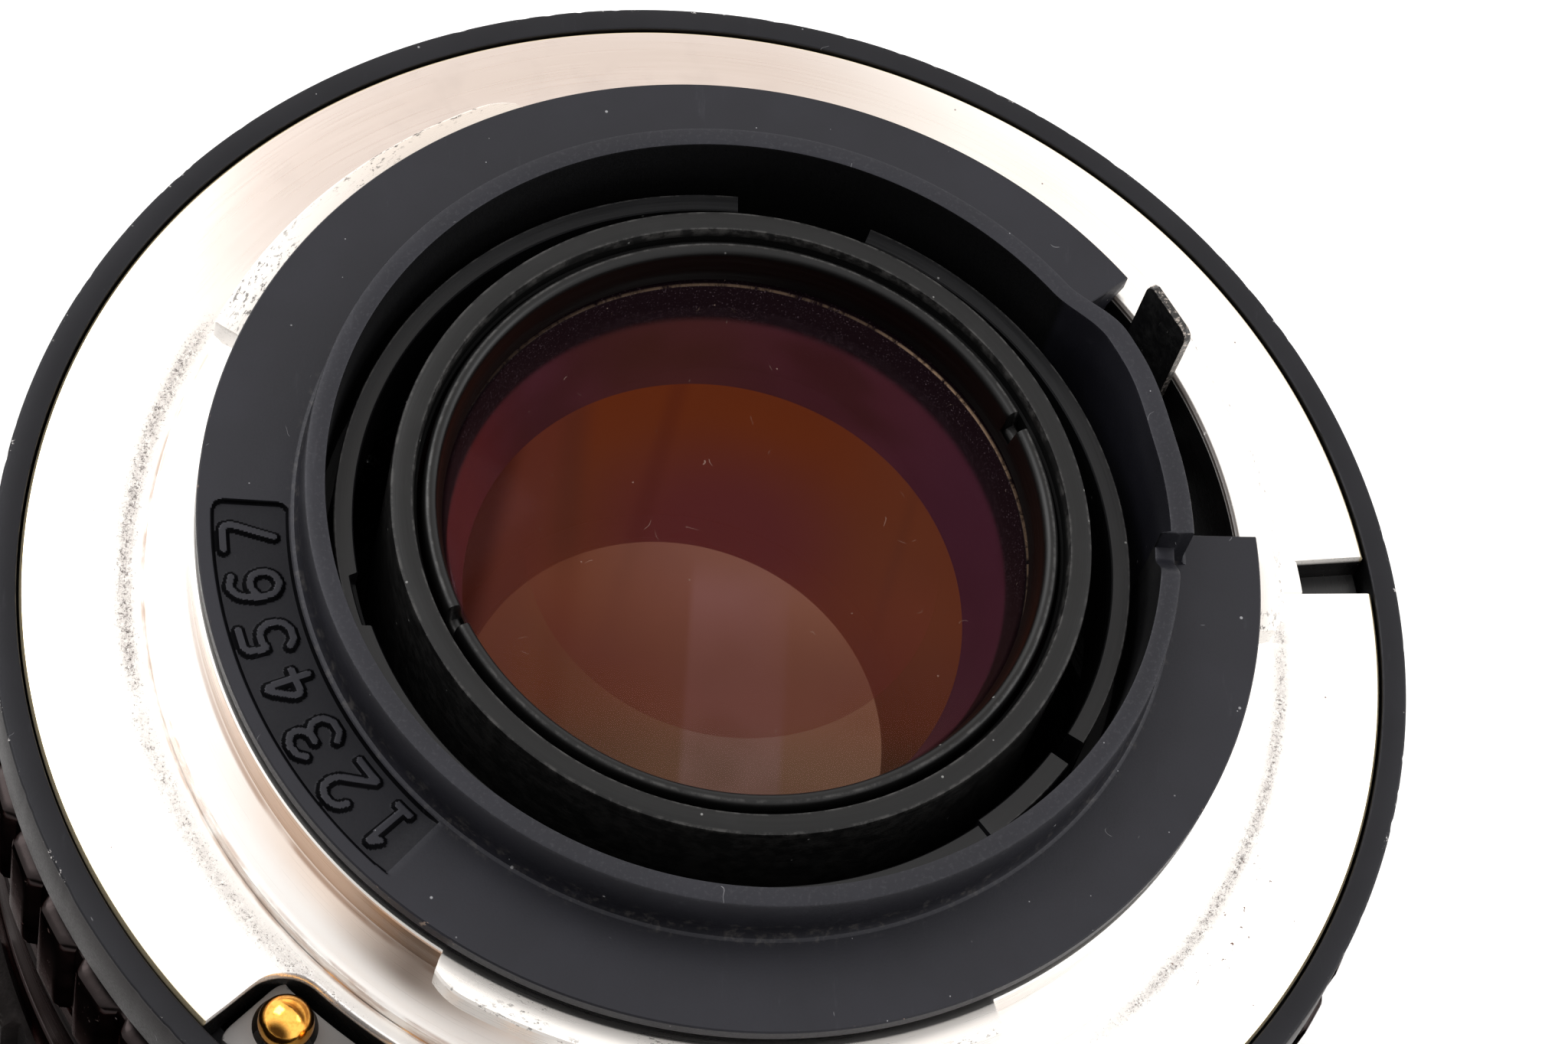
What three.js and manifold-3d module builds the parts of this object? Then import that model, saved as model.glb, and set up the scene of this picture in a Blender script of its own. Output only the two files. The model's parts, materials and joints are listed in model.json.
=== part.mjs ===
// 50 mm f/1.8 class standard lens with a bayonet rear, seen as a working assembly.
// Units are millimetres. +Z runs along the optical axis towards the camera side.
// The origin is the centre of the front rim plane, on which the lens can stand.
import * as THREE from 'three';
import { mergeVertices } from 'three/addons/utils/BufferGeometryUtils.js';
import Module from 'manifold-3d';

const wasm = await Module();
wasm.setup();

// ---------------------------------------------------------------- driving dimensions
const FLANGE_Z = 41.0;          // bayonet register plane above the front rim
const PLATE_R = 29.6;           // nickel plate outer radius
const PLATE_T = 2.1;            // nickel plate thickness
const REGISTER_R = 24.6;        // register shoulder of the collar
const COLLAR_R = 22.87;         // collar radius between the lugs
const COLLAR_BORE_R = 22.2;
const COLLAR_TOP = 4.75;        // collar and lug top above the flange
const LUG_R = 24.1;
const LUG_T = 1.5;
const LUGS = [[-5, 39], [114.5, 159], [239.5, 298]];   // start and end angles, degrees
const LOCK_SLOT_A = 7.4, LOCK_SLOT_W = 1.65, LOCK_SLOT_R = 26.6;
const POCKET = { r0: 25.4, a0: 226, a1: 253 };
const CONTACT_R = 27.2, CONTACT_A = [230.2, 239.6, 249.0], CONTACT_BALL_R = 1.17;
const RIM_R = 31.0, RIM_IN_R = 29.9, RIM_H = 5.0;
const GUARD_R = 22.72, GUARD_WALL_OUT = 18.5, GUARD_WALL_IN = 17.6;
const GUARD_FLAT = 6.0, GUARD_FLAT_T = 0.7, GUARD_WALL_TOP = 8.8;
const WINDOW = [5, 39.5];       // lever window in the guard, degrees
const LEVER_A = [27, 35], LEVER_TOP = 9.1, LEVER_R = [21.3, 21.8];
const APERTURE_RING_R = 30.9, APERTURE_LOBE_R = 31.5, APERTURE_LOBES = 60;
const APERTURE_RING_Z = [27.6, 36.6];
const FOCUS_RING_R = 30.9, FOCUS_GRIP_R = 31.8, FOCUS_RIBS = 36;
const FOCUS_TRAVEL = 7.5;       // travel of the optical unit at the near stop
const REAR_CELL_R = 14.9, REAR_CELL_TOP = 7.7;
const BLADES = 6, BLADE_PIVOT_R = 15.2, BLADE_IN_R = 9.9, BLADE_OUT_R = 14.2;
const BLADE_SWING = 33, STOP_SWING = 20;   // degrees
const BLADE_Z0 = 21.0, BLADE_PITCH = 0.4, BLADE_T = 0.18;
const IRIS_RING_Z = [23.9, 24.9];
const N_OUT = 48, N = 36, N_IN = 24;

// ---------------------------------------------------------------- helpers
const rad = (d) => d * Math.PI / 180;
const F = (z) => FLANGE_Z + z;  // height given from the flange plane

function clean(geo) {
  let g = geo.clone();
  for (const a of Object.keys(g.attributes)) if (a !== 'position') g.deleteAttribute(a);
  g = mergeVertices(g, 1e-4);
  const p = g.attributes.position.array, ix = g.index.array;
  const keep = [];
  for (let i = 0; i < ix.length; i += 3) {
    if (ix[i] !== ix[i + 1] && ix[i + 1] !== ix[i + 2] && ix[i] !== ix[i + 2]) keep.push(ix[i], ix[i + 1], ix[i + 2]);
  }
  let v = 0;
  for (let i = 0; i < keep.length; i += 3) {
    const [a, b, c] = [keep[i] * 3, keep[i + 1] * 3, keep[i + 2] * 3];
    v += p[a] * (p[b + 1] * p[c + 2] - p[b + 2] * p[c + 1])
       - p[a + 1] * (p[b] * p[c + 2] - p[b + 2] * p[c])
       + p[a + 2] * (p[b] * p[c + 1] - p[b + 1] * p[c]);
  }
  if (v < 0) for (let i = 0; i < keep.length; i += 3) [keep[i + 1], keep[i + 2]] = [keep[i + 2], keep[i + 1]];
  g.setIndex(keep);
  return g;
}
function solid(geo) {
  const g = clean(geo);
  return new wasm.Manifold(new wasm.Mesh({
    numProp: 3,
    vertProperties: new Float32Array(g.attributes.position.array),
    triVerts: new Uint32Array(g.index.array),
  }));
}
function shell(man) {
  const m = man.getMesh();
  const g = new THREE.BufferGeometry();
  const n = m.numProp, p = new Float32Array(m.vertProperties.length / n * 3);
  for (let i = 0; i < p.length / 3; i++) for (let k = 0; k < 3; k++) p[i * 3 + k] = m.vertProperties[i * n + k];
  g.setAttribute('position', new THREE.BufferAttribute(p, 3));
  g.setIndex(Array.from(m.triVerts));
  return g;
}
const plus = (...gs) => shell(gs.slice(1).reduce((a, g) => a.add(solid(g)), solid(gs[0])));
const minus = (g, ...cuts) => shell(cuts.reduce((a, c) => a.subtract(solid(c)), solid(g)));

// closed ring or solid of revolution about Z from [r, z] points
function turn(points, seg = N) {
  const pts = points.map(([r, z]) => new THREE.Vector2(r, z));
  if (points[0][0] > 1e-6) pts.push(pts[0].clone());
  const g = new THREE.LatheGeometry(pts, seg);
  g.rotateX(Math.PI / 2);
  return clean(g);
}
const ring = (r0, r1, z0, z1, seg = N) => turn([[r0, z0], [r1, z0], [r1, z1], [r0, z1]], seg);
function outline(pts, holes = []) {
  const s = new THREE.Shape(pts.map(([x, y]) => new THREE.Vector2(x, y)));
  for (const h of holes) s.holes.push(new THREE.Path(h.map(([x, y]) => new THREE.Vector2(x, y))));
  return s;
}
function slab(pts, z0, z1, holes = []) {
  const g = new THREE.ExtrudeGeometry(outline(pts, holes), { depth: z1 - z0, bevelEnabled: false, steps: 1 });
  g.translate(0, 0, z0);
  return clean(g);
}
function arcPts(r, a0, a1, n) {
  const out = [];
  for (let i = 0; i <= n; i++) { const a = rad(a0 + (a1 - a0) * i / n); out.push([r * Math.cos(a), r * Math.sin(a)]); }
  return out;
}
function sector(r0, r1, a0, a1, z0, z1, step = 5) {
  const n = Math.max(1, Math.ceil((a1 - a0) / step));
  return slab([...arcPts(r1, a0, a1, n), ...arcPts(r0, a1, a0, n)], z0, z1);
}
function circle(cx, cy, r, n = 16) { return arcPts(r, 0, 360, n).slice(0, n).map(([x, y]) => [x + cx, y + cy]); }
function rod(x, y, r, z0, z1, n = 12) {
  const g = new THREE.CylinderGeometry(r, r, z1 - z0, n);
  g.rotateX(Math.PI / 2); g.translate(x, y, (z0 + z1) / 2);
  return clean(g);
}
// bar given by a box in a frame turned by angle a about Z: u runs radially, v tangentially
function bar(a, u0, u1, v0, v1, z0, z1) {
  const g = new THREE.BoxGeometry(u1 - u0, v1 - v0, z1 - z0);
  g.translate((u0 + u1) / 2, (v0 + v1) / 2, (z0 + z1) / 2);
  g.rotateZ(rad(a));
  return clean(g);
}
function at(geo, r, a) { const g = geo.clone(); g.translate(r * Math.cos(rad(a)), r * Math.sin(rad(a)), 0); return g; }
// coil spring along Z from a swept round wire, with closed ends
function coil(R, wire, z0, z1, turns, perTurn = 7, sides = 4) {
  class Helix extends THREE.Curve {
    getPoint(t, v = new THREE.Vector3()) {
      const a = t * turns * 2 * Math.PI;
      return v.set(R * Math.cos(a), R * Math.sin(a), z0 + wire + (z1 - z0 - 2 * wire) * t);
    }
  }
  const sec = new THREE.Shape(circle(0, 0, wire, sides).map(([x, y]) => new THREE.Vector2(x, y)));
  return clean(new THREE.ExtrudeGeometry(sec, { steps: Math.round(turns * perTurn), bevelEnabled: false, extrudePath: new Helix() }));
}

// ---------------------------------------------------------------- materials
const finish = (color, roughness, metalness, extra = {}) => new THREE.MeshStandardMaterial({ color, roughness, metalness, ...extra });
const nickel = () => finish(0xd8d2c8, 0.28, 1);
const blackPlastic = () => finish(0x2b2b2e, 0.6, 0);
const blackGloss = () => finish(0x17100f, 0.22, 0);
const blackMetal = () => finish(0x1c1c1e, 0.5, 0.6);
const aluminium = () => finish(0xb6b7b9, 0.35, 1);
const steel = () => finish(0x9b9da0, 0.3, 1);
const gold = () => finish(0xe0a93a, 0.18, 1);
const brassy = () => finish(0xb08a45, 0.35, 1);
const greyPlastic = () => finish(0x77777c, 0.5, 0);
const rubber = () => finish(0x141414, 0.8, 0);
const glass = () => finish(0x5a2014, 0.05, 0, { transparent: true, opacity: 0.55 });

const lens = new THREE.Group();
function add(parent, name, geometry, material) {
  const m = new THREE.Mesh(geometry, material);
  m.name = name;
  parent.add(m);
  return m;
}

// ---------------------------------------------------------------- fixed body
const body = new THREE.Group();
lens.add(body);
{
  // bayonet plate: flat flange, register shoulder, tapered collar, three lugs, inner web
  const collarTop = F(COLLAR_TOP);
  let plate = solid(turn([
    [18.6, F(-PLATE_T)], [PLATE_R, F(-PLATE_T)], [PLATE_R, F(0)], [REGISTER_R, F(0)],
    [REGISTER_R - 0.05, F(0.7)], [24.2, F(0.9)], [COLLAR_R, F(3.0)], [COLLAR_R, collarTop],
    [COLLAR_BORE_R, collarTop], [COLLAR_BORE_R, F(-0.6)], [18.6, F(-0.6)],
  ], N_OUT));
  for (const [a0, a1] of LUGS) {
    plate = plate.add(solid(sector(COLLAR_BORE_R + 0.2, LUG_R, a0, a1, collarTop - LUG_T, collarTop, 5.625)));
  }
  // lock-pin slot, open to the plate's edge
  plate = plate.subtract(solid(bar(LOCK_SLOT_A, LOCK_SLOT_R, 31, -LOCK_SLOT_W / 2, LOCK_SLOT_W / 2, F(-1.5), F(1))));
  // contact pocket, open to the plate's edge
  plate = plate.subtract(solid(sector(POCKET.r0, 31, POCKET.a0, POCKET.a1, F(-3), F(1), 4.5)));
  for (const a of [90, 210, 330]) plate = plate.subtract(solid(at(rod(0, 0, 0.95, F(-3), F(0)), 19.95, a)));
  add(body, 'mount_plate', shell(plate), nickel());

  // black guard around the rear group: flat skirt, raised inner wall, lever window
  const [w0, w1] = WINDOW;
  let guard = solid(turn([
    [GUARD_WALL_IN, F(1.3)], [GUARD_WALL_OUT, F(1.3)], [GUARD_WALL_OUT, F(GUARD_FLAT - GUARD_FLAT_T)],
    [21.15, F(GUARD_FLAT - GUARD_FLAT_T)], [21.15, F(-0.3)], [21.9, F(-0.3)], [21.9, F(GUARD_FLAT - GUARD_FLAT_T)],
    [GUARD_R, F(GUARD_FLAT - GUARD_FLAT_T)], [GUARD_R, F(GUARD_FLAT)], [GUARD_WALL_OUT, F(GUARD_FLAT)],
    [GUARD_WALL_OUT, F(GUARD_WALL_TOP)], [GUARD_WALL_IN, F(GUARD_WALL_TOP)],
  ], N));
  guard = guard.subtract(solid(sector(19.15, 24, w0, w1, F(-1), F(7), 5)));
  guard = guard.subtract(solid(sector(20.9, 24, -2, 47, F(-1), F(GUARD_FLAT - GUARD_FLAT_T), 7)));
  guard = guard.add(solid(sector(18.2, 19.15, w0 - 1.5, w1 + 1.5, F(1.3), F(GUARD_WALL_TOP), 5)));
  guard = guard.subtract(solid(sector(16, 18.2, w0, w1, F(1), F(10), 5)));
  add(body, 'guard', shell(guard), blackPlastic());

  // black rear rim that carries the plate, with the shadow groove under it
  add(body, 'rear_rim', minus(turn([
    [RIM_IN_R, F(-2.4)], [RIM_IN_R, F(0)], [RIM_R, F(0)], [RIM_R + 0.2, F(-3)], [30.4, F(-3)],
    [30.4, F(-3.8)], [28.6, F(-3.8)], [28.6, F(-2.4)],
  ], N_OUT), sector(28, RIM_IN_R, POCKET.a0, POCKET.a1, F(-5), F(-2), 4.5)), blackPlastic());

  // main barrel: inner tube, rear flange, drum under the aperture ring
  let barrel = solid(turn([
    [18.6, F(-2.4)], [28.3, F(-2.4)], [28.3, F(-4.1)], [28.9, F(-4.1)], [28.9, 28.0], [27.9, 28.0],
    [27.9, F(-6.0)], [26.4, F(-6.0)], [26.4, 18.2], [25.4, 18.2], [25.4, F(-5.0)], [18.6, F(-5.0)],
  ], N));
  barrel = barrel.subtract(solid(sector(25.5, 30, POCKET.a0 - 0.3, POCKET.a1 + 0.3, F(-4.9), F(-2), 4.5)));
  for (const a of [90, 210, 330]) barrel = barrel.subtract(solid(at(rod(0, 0, 0.95, F(-6), F(-2)), 19.95, a)));
  for (const a of [60, 240]) {
    barrel = barrel.subtract(solid(at(rod(0, 0, 0.95, F(-6), F(-2)), 23.4, a)));
    barrel = barrel.subtract(solid(at(rod(0, 0, 1.5, F(-3.7), F(-2), 14), 23.4, a)));
  }
  const ballHole = new THREE.CylinderGeometry(0.9, 0.9, 3, 12); ballHole.rotateZ(Math.PI / 2); ballHole.translate(29.3, 0, 32); ballHole.rotateZ(rad(300));
  barrel = barrel.subtract(solid(ballHole));
  add(body, 'main_barrel', shell(barrel), blackMetal());

  // fixed index ring between aperture ring and focus ring
  add(body, 'index_ring', turn([[26.7, 22.9], [30.5, 22.9], [30.9, 23.3], [30.9, 27.0], [30.6, 27.3], [26.7, 27.3]], N), aluminium());

  // insulating block with three bores for the contacts
  let block = solid(sector(25.8, 29.4, POCKET.a0 + 0.8, POCKET.a1 - 0.8, F(-4.15), F(-1.0), 4));
  for (const a of CONTACT_A) block = block.subtract(solid(at(rod(0, 0, 1.4, F(-3.85), F(0), 12), CONTACT_R, a)));
  add(body, 'contact_block', shell(block), greyPlastic());

  // straight keys that stop the optical unit turning, and their screws
  [60, 240].forEach((a, i) => {
    add(body, `guide_key_${i + 1}`, minus(
      bar(a, 22.6, 24.2, -1.9, 1.9, 9.8, F(-5.3)),
      at(rod(0, 0, 0.95, 31.5, 37), 23.4, a)), brassy());
    const p = [[0, 32.2], [0.65, 32.2], [0.65, F(-3.45)], [1.2, F(-3.45)], [1.2, F(-2.75)], [0, F(-2.75)]];
    add(body, `key_screw_${i + 1}`, at(turn(p, 12), 23.4, a), steel());
  });
  // screws that hold the plate to the barrel
  [90, 210, 330].forEach((a, i) => {
    const p = [[0, F(-5.6)], [0.65, F(-5.6)], [0.65, F(-0.5)], [1.05, F(-0.5)], [1.05, F(0.1)], [0, F(0.1)]];
    add(body, `mount_screw_${i + 1}`, at(turn(p, 12), 19.95, a), steel());
  });
  // click ball and its spring for the aperture ring
  const ball = new THREE.SphereGeometry(0.6, 10, 6); ball.translate(28.7, 0, 32); ball.rotateZ(rad(300));
  add(body, 'click_ball', clean(ball), steel());
  add(body, 'click_spring', sector(27.4, 27.7, 291, 309, 31.1, 32.9, 6), steel());
  // hook post and tension spring of the stop-down ring
  add(body, 'spring_post', at(rod(0, 0, 0.5, 26.5, F(-5.3), 12), 20.3, 165), steel());
  const ls = coil(0.75, 0.15, 0, 8.6, 8);
  ls.rotateY(Math.PI / 2); ls.rotateZ(rad(55.5)); ls.translate(19.9 * Math.cos(rad(159.5)), 19.9 * Math.sin(rad(159.5)), 28);
  add(body, 'stop_spring', ls, steel());
}

// ---------------------------------------------------------------- sprung contacts
CONTACT_A.forEach((a, i) => {
  const p = [[0, F(-2.5)], [0.65, F(-2.5)], [0.65, F(-1.6)]];
  const zc = F(-0.55), r = CONTACT_BALL_R;
  for (let k = 0; k <= 5; k++) { const t = rad(-52 + k * (142 / 5)); p.push([k === 5 ? 0 : r * Math.cos(t), zc + r * Math.sin(t)]); }
  add(body, `contact_pin_${i + 1}`, at(turn(p, 12), CONTACT_R, a), gold());
  add(body, `contact_spring_${i + 1}`, at(coil(0.75, 0.12, F(-3.8), F(-2.65), 2), CONTACT_R, a), steel());
});

// ---------------------------------------------------------------- stop-down ring with the lever
{
  const [a0, a1] = LEVER_A;
  let s = solid(turn([[16.25, F(0.4)], [18.1, F(0.4)], [18.1, F(1.0)], [17.05, F(1.0)], [17.05, F(5.7)], [16.25, F(5.7)]], N));
  s = s.subtract(solid(sector(15, 18, 70, 90, F(1.4), F(6), 5)));
  s = s.subtract(solid(sector(15, 18, 325.5, 329.5, F(1.4), F(6), 5)));
  s = s.add(solid(sector(17.5, LEVER_R[1], a0 - 2, a1 + 2, F(0.4), F(1.0), 3)));
  s = s.add(solid(bar((a0 + a1) / 2, LEVER_R[0], LEVER_R[1], -1.5, 1.5, F(0.4), F(LEVER_TOP))));
  s = s.add(solid(bar(120, 17.4, 18.05, -1.5, 1.5, 15.4, F(1.0))));
  s = s.add(solid(bar(123.5, 17.5, 19.9, -0.4, 0.4, 27.4, 28.6)));
  add(lens, 'stop_lever_ring', shell(s), blackMetal());
}

// ---------------------------------------------------------------- aperture ring
{
  const pts = [];
  const pitch = 360 / APERTURE_LOBES;
  for (let i = 0; i < APERTURE_LOBES; i++) {
    const c = i * pitch;
    for (const [d, r] of [[-3, APERTURE_RING_R], [-1.9, APERTURE_LOBE_R], [1.9, APERTURE_LOBE_R]]) {
      pts.push([r * Math.cos(rad(c + d)), r * Math.sin(rad(c + d))]);
    }
  }
  const lobes = slab(pts, 29.6, APERTURE_RING_Z[1], [arcPts(29.2, 0, 360, N).slice(0, N)]);
  let a = solid(lobes).add(solid(turn([[29.2, APERTURE_RING_Z[0]], [30.4, APERTURE_RING_Z[0]], [APERTURE_RING_R, 28.1], [APERTURE_RING_R, 30.5], [29.2, 30.5]], N)));
  a = a.subtract(solid(sector(28.8, 29.95, 248, 304, 31.0, 33.0, 7)));
  add(lens, 'aperture_ring', shell(a), blackGloss());
}

// ---------------------------------------------------------------- focus ring
{
  add(lens, 'focus_ring', turn([
    [26.9, 0], [30.3, 0], [30.6, 0.5], [30.6, 3.0], [29.9, 3.4], [29.9, 18.6], [30.6, 19.0], [30.9, 19.6], [30.9, 22.6],
    [26.8, 22.6], [26.8, 20.2], [28.9, 20.2], [28.9, 3.2], [26.9, 3.2],
  ], N), blackGloss());
  const pts = [];
  const pitch = 360 / FOCUS_RIBS;
  for (let i = 0; i < FOCUS_RIBS; i++) {
    const c = i * pitch;
    for (const [d, r] of [[-3.4, FOCUS_RING_R], [-2.9, FOCUS_GRIP_R], [2.9, FOCUS_GRIP_R], [3.4, FOCUS_RING_R]]) {
      pts.push([r * Math.cos(rad(c + d)), r * Math.sin(rad(c + d))]);
    }
  }
  add(lens, 'focus_grip', slab(pts, 4.0, 18.2, [arcPts(30.25, 0, 360, N).slice(0, N)]), rubber());
  let nut = solid(ring(24.6, 28.6, 8.5, 17.9, N));
  const screws = [];
  [20, 140, 260].forEach((a) => {
    const hole = new THREE.CylinderGeometry(0.9, 0.9, 3, 10); hole.rotateZ(Math.PI / 2); hole.translate(27.8, 0, 13); hole.rotateZ(rad(a));
    nut = nut.subtract(solid(hole));
    const sc = new THREE.CylinderGeometry(0.6, 0.6, 1.7, 10); sc.rotateZ(Math.PI / 2); sc.translate(27.5, 0, 13); sc.rotateZ(rad(a));
    screws.push(clean(sc));
  });
  add(lens, 'helicoid_nut', shell(nut), brassy());
  screws.forEach((g, i) => add(lens, `nut_screw_${i + 1}`, g, steel()));
}

// ---------------------------------------------------------------- sliding optical unit
const unit = new THREE.Group();
lens.add(unit);
{
  let tube = solid(turn([[20.9, 6.6], [24.3, 6.6], [24.3, 22.0], [22.2, 22.0], [22.2, 8.6], [20.9, 8.6]], N));
  for (const a of [60, 240]) tube = tube.subtract(solid(bar(a, 21.5, 25, -2.25, 2.25, 9.2, 23)));
  add(unit, 'helicoid_barrel', shell(tube), aluminium());

  add(unit, 'filter_ring', turn([[24.55, 0.8], [26.2, 0.8], [26.2, 6.3], [21.6, 6.3], [21.6, 5.5], [24.55, 5.5]], N), blackMetal());
  add(unit, 'name_ring', turn([[24.2, 3.4], [24.2, 4.3], [22.4, 5.2], [21.3, 5.2], [16.9, 8.2], [15.4, 8.2], [15.4, 7.7], [21.0, 3.4]], N), blackPlastic());
  add(unit, 'front_cell', turn([
    [14.7, 7.4], [15.1, 7.4], [15.1, 8.6], [17.2, 8.6], [17.2, 8.9], [21.9, 8.9], [21.9, 10.4], [16.3, 10.4], [16.3, 20.0], [10.3, 20.0],
    [10.3, 18.9], [12.5, 18.9], [12.5, 13.6], [14.7, 13.6],
  ], N_IN), blackMetal());
  add(unit, 'block_ring', ring(20.0, 21.9, 10.7, 12.0, N_IN), blackMetal());

  // glass: closed bodies with spherical faces
  const cap = (r, z, sag, n) => { const out = []; const R = (r * r + sag * sag) / (2 * Math.abs(sag)); for (let i = 0; i <= n; i++) { const x = r * i / n; const h = (R - Math.sqrt(R * R - x * x)); out.push([x, z - Math.sign(sag) * h]); } return out; };
  const lensBody = (r, zFront, sagFront, zRear, sagRear, seg = N_IN) => {
    const front = cap(r, zFront, sagFront, 3), rear = cap(r, zRear, sagRear, 3).reverse();
    return turn([...front, ...rear].map(([x, z]) => [x < 1e-9 ? 0 : x, z]), seg);
  };
  add(unit, 'front_element', lensBody(14.35, 7.2, -2.6, 12.6, -0.8), glass());
  add(unit, 'front_doublet', lensBody(12.15, 13.1, -2.2, 16.4, -2.2), glass());
  add(unit, 'front_retainer', turn([[13.2, 6.2], [15.1, 6.2], [15.1, 7.1], [13.4, 7.1]], N_IN), blackMetal());

  // iris housing: pivot plate below, wall around the blades
  const holes = [arcPts(10.3, 0, 360, N_IN).slice(0, N_IN)];
  for (let i = 0; i < BLADES; i++) { const a = rad(i * 60); holes.push(circle(BLADE_PIVOT_R * Math.cos(a), BLADE_PIVOT_R * Math.sin(a), 0.65, 8)); }
  const plate = slab(arcPts(17.1, 0, 360, N_IN).slice(0, N_IN), 20.2, 20.75, holes);
  let housing = solid(plate).add(solid(ring(16.75, 17.1, 20.4, 23.5, N_IN)));
  add(unit, 'iris_housing', shell(housing), blackMetal());

  // rear cell with rear doublet, rear element and retaining ring
  add(unit, 'rear_cell', turn([
    [10.3, 25.3], [17.1, 25.3], [17.1, 26.2], [REAR_CELL_R - 1.0, 26.2], [REAR_CELL_R - 1.0, 30.0], [REAR_CELL_R, 31.0],
    [REAR_CELL_R, F(REAR_CELL_TOP)], [13.85, F(REAR_CELL_TOP)], [13.7, F(REAR_CELL_TOP) - 0.8], [13.7, F(1.2)], [11.4, F(1.2)],
    [11.4, 27.0], [10.3, 26.6],
  ], N_IN), blackMetal());
  add(unit, 'rear_doublet', lensBody(11.1, 30.2, 2.6, 34.6, 1.6), glass());
  add(unit, 'doublet_retainer', ring(9.6, 11.1, 35.2, 36.2, N_IN), blackMetal());
  add(unit, 'rear_element', lensBody(13.4, F(1.6), -0.9, F(7.3), 1.8), glass());
  add(unit, 'rear_retainer', turn([[12.5, F(6.0)], [13.4, F(6.0)], [13.4, F(7.5)], [12.9, F(7.5)]], N), blackMetal());
}

// ---------------------------------------------------------------- iris cam ring and blades
const P0 = [BLADE_PIVOT_R, 0];
const pinArm = 2.6, pinAng = 100;
const pinAt = (beta) => [P0[0] + pinArm * Math.cos(rad(pinAng + beta)), P0[1] + pinArm * Math.sin(rad(pinAng + beta))];
{
  const path = [];
  for (let i = 0; i <= 8; i++) {
    const t = -0.03 + 1.06 * i / 8;
    const [x, y] = pinAt(BLADE_SWING * t), a = rad(STOP_SWING * t);
    path.push([x * Math.cos(a) - y * Math.sin(a), x * Math.sin(a) + y * Math.cos(a)]);
  }
  const half = 0.62, left = [], right = [];
  path.forEach((p, i) => {
    const q = path[Math.min(i + 1, path.length - 1)], o = path[Math.max(i - 1, 0)];
    const dx = q[0] - o[0], dy = q[1] - o[1], l = Math.hypot(dx, dy);
    left.push([p[0] - dy / l * half, p[1] + dx / l * half]);
    right.push([p[0] + dy / l * half, p[1] - dx / l * half]);
  });
  const end = path[path.length - 1], pre = path[path.length - 2], beg = path[0], sec = path[1];
  const ext = (p, q, s) => { const dx = p[0] - q[0], dy = p[1] - q[1], l = Math.hypot(dx, dy); return [p[0] + dx / l * s, p[1] + dy / l * s]; };
  const slot = [...left, ext(end, pre, half), ...right.reverse(), ext(beg, sec, half)];
  const turnPts = (pts, a) => pts.map(([x, y]) => [x * Math.cos(a) - y * Math.sin(a), x * Math.sin(a) + y * Math.cos(a)]);
  const holes = [arcPts(11.3, 0, 360, N_IN).slice(0, N_IN)];
  for (let i = 0; i < BLADES; i++) holes.push(turnPts(slot, rad(i * 60)));
  // fork around the lever ring's bar at 120 degrees
  const rim = arcPts(16.6, 131, 469, N_IN);
  const R = (r, a, v) => { const c = Math.cos(rad(a)), s = Math.sin(rad(a)); return [r * c - v * s, r * s + v * c]; };
  const fork = [R(16.7, 120, -3.2), R(18.3, 120, -3.0), R(18.3, 120, -1.85), R(17.05, 120, -1.85), R(17.05, 120, 1.85), R(18.3, 120, 1.85), R(18.3, 120, 3.0), R(16.7, 120, 3.2)];
  add(lens, 'iris_ring', slab([...rim, ...fork], IRIS_RING_Z[0], IRIS_RING_Z[1], holes), steel());

  for (let i = 0; i < BLADES; i++) {
    const z = BLADE_Z0 + i * BLADE_PITCH;
    const blade = [...arcPts(BLADE_OUT_R, 14, 75, 10), ...arcPts((BLADE_OUT_R + BLADE_IN_R) / 2, 78.5, 78.5, 1).slice(0, 1), ...arcPts(BLADE_IN_R, 75, -3, 13),
      ...[[14.3, -4.6], [15.9, -3.2], [16.35, 0], [16.2, 4], [15.95, 9], [15.5, 13]].map(([r, a]) => [r * Math.cos(rad(a)), r * Math.sin(rad(a))])];
    let b = solid(slab(blade, z, z + BLADE_T));
    b = b.add(solid(rod(P0[0], P0[1], 0.35, 20.3, z + BLADE_T / 2, 8)));
    const q = pinAt(0);
    b = b.add(solid(rod(q[0], q[1], 0.32, z + BLADE_T / 2, 24.6, 8)));
    const g = shell(b); g.rotateZ(rad(i * 60));
    add(lens, `iris_blade_${i + 1}`, g, steel());
  }
}

export default lens;
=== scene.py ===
import bpy, bmesh, json, math, random
import numpy as np
from mathutils import Matrix, Vector

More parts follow.
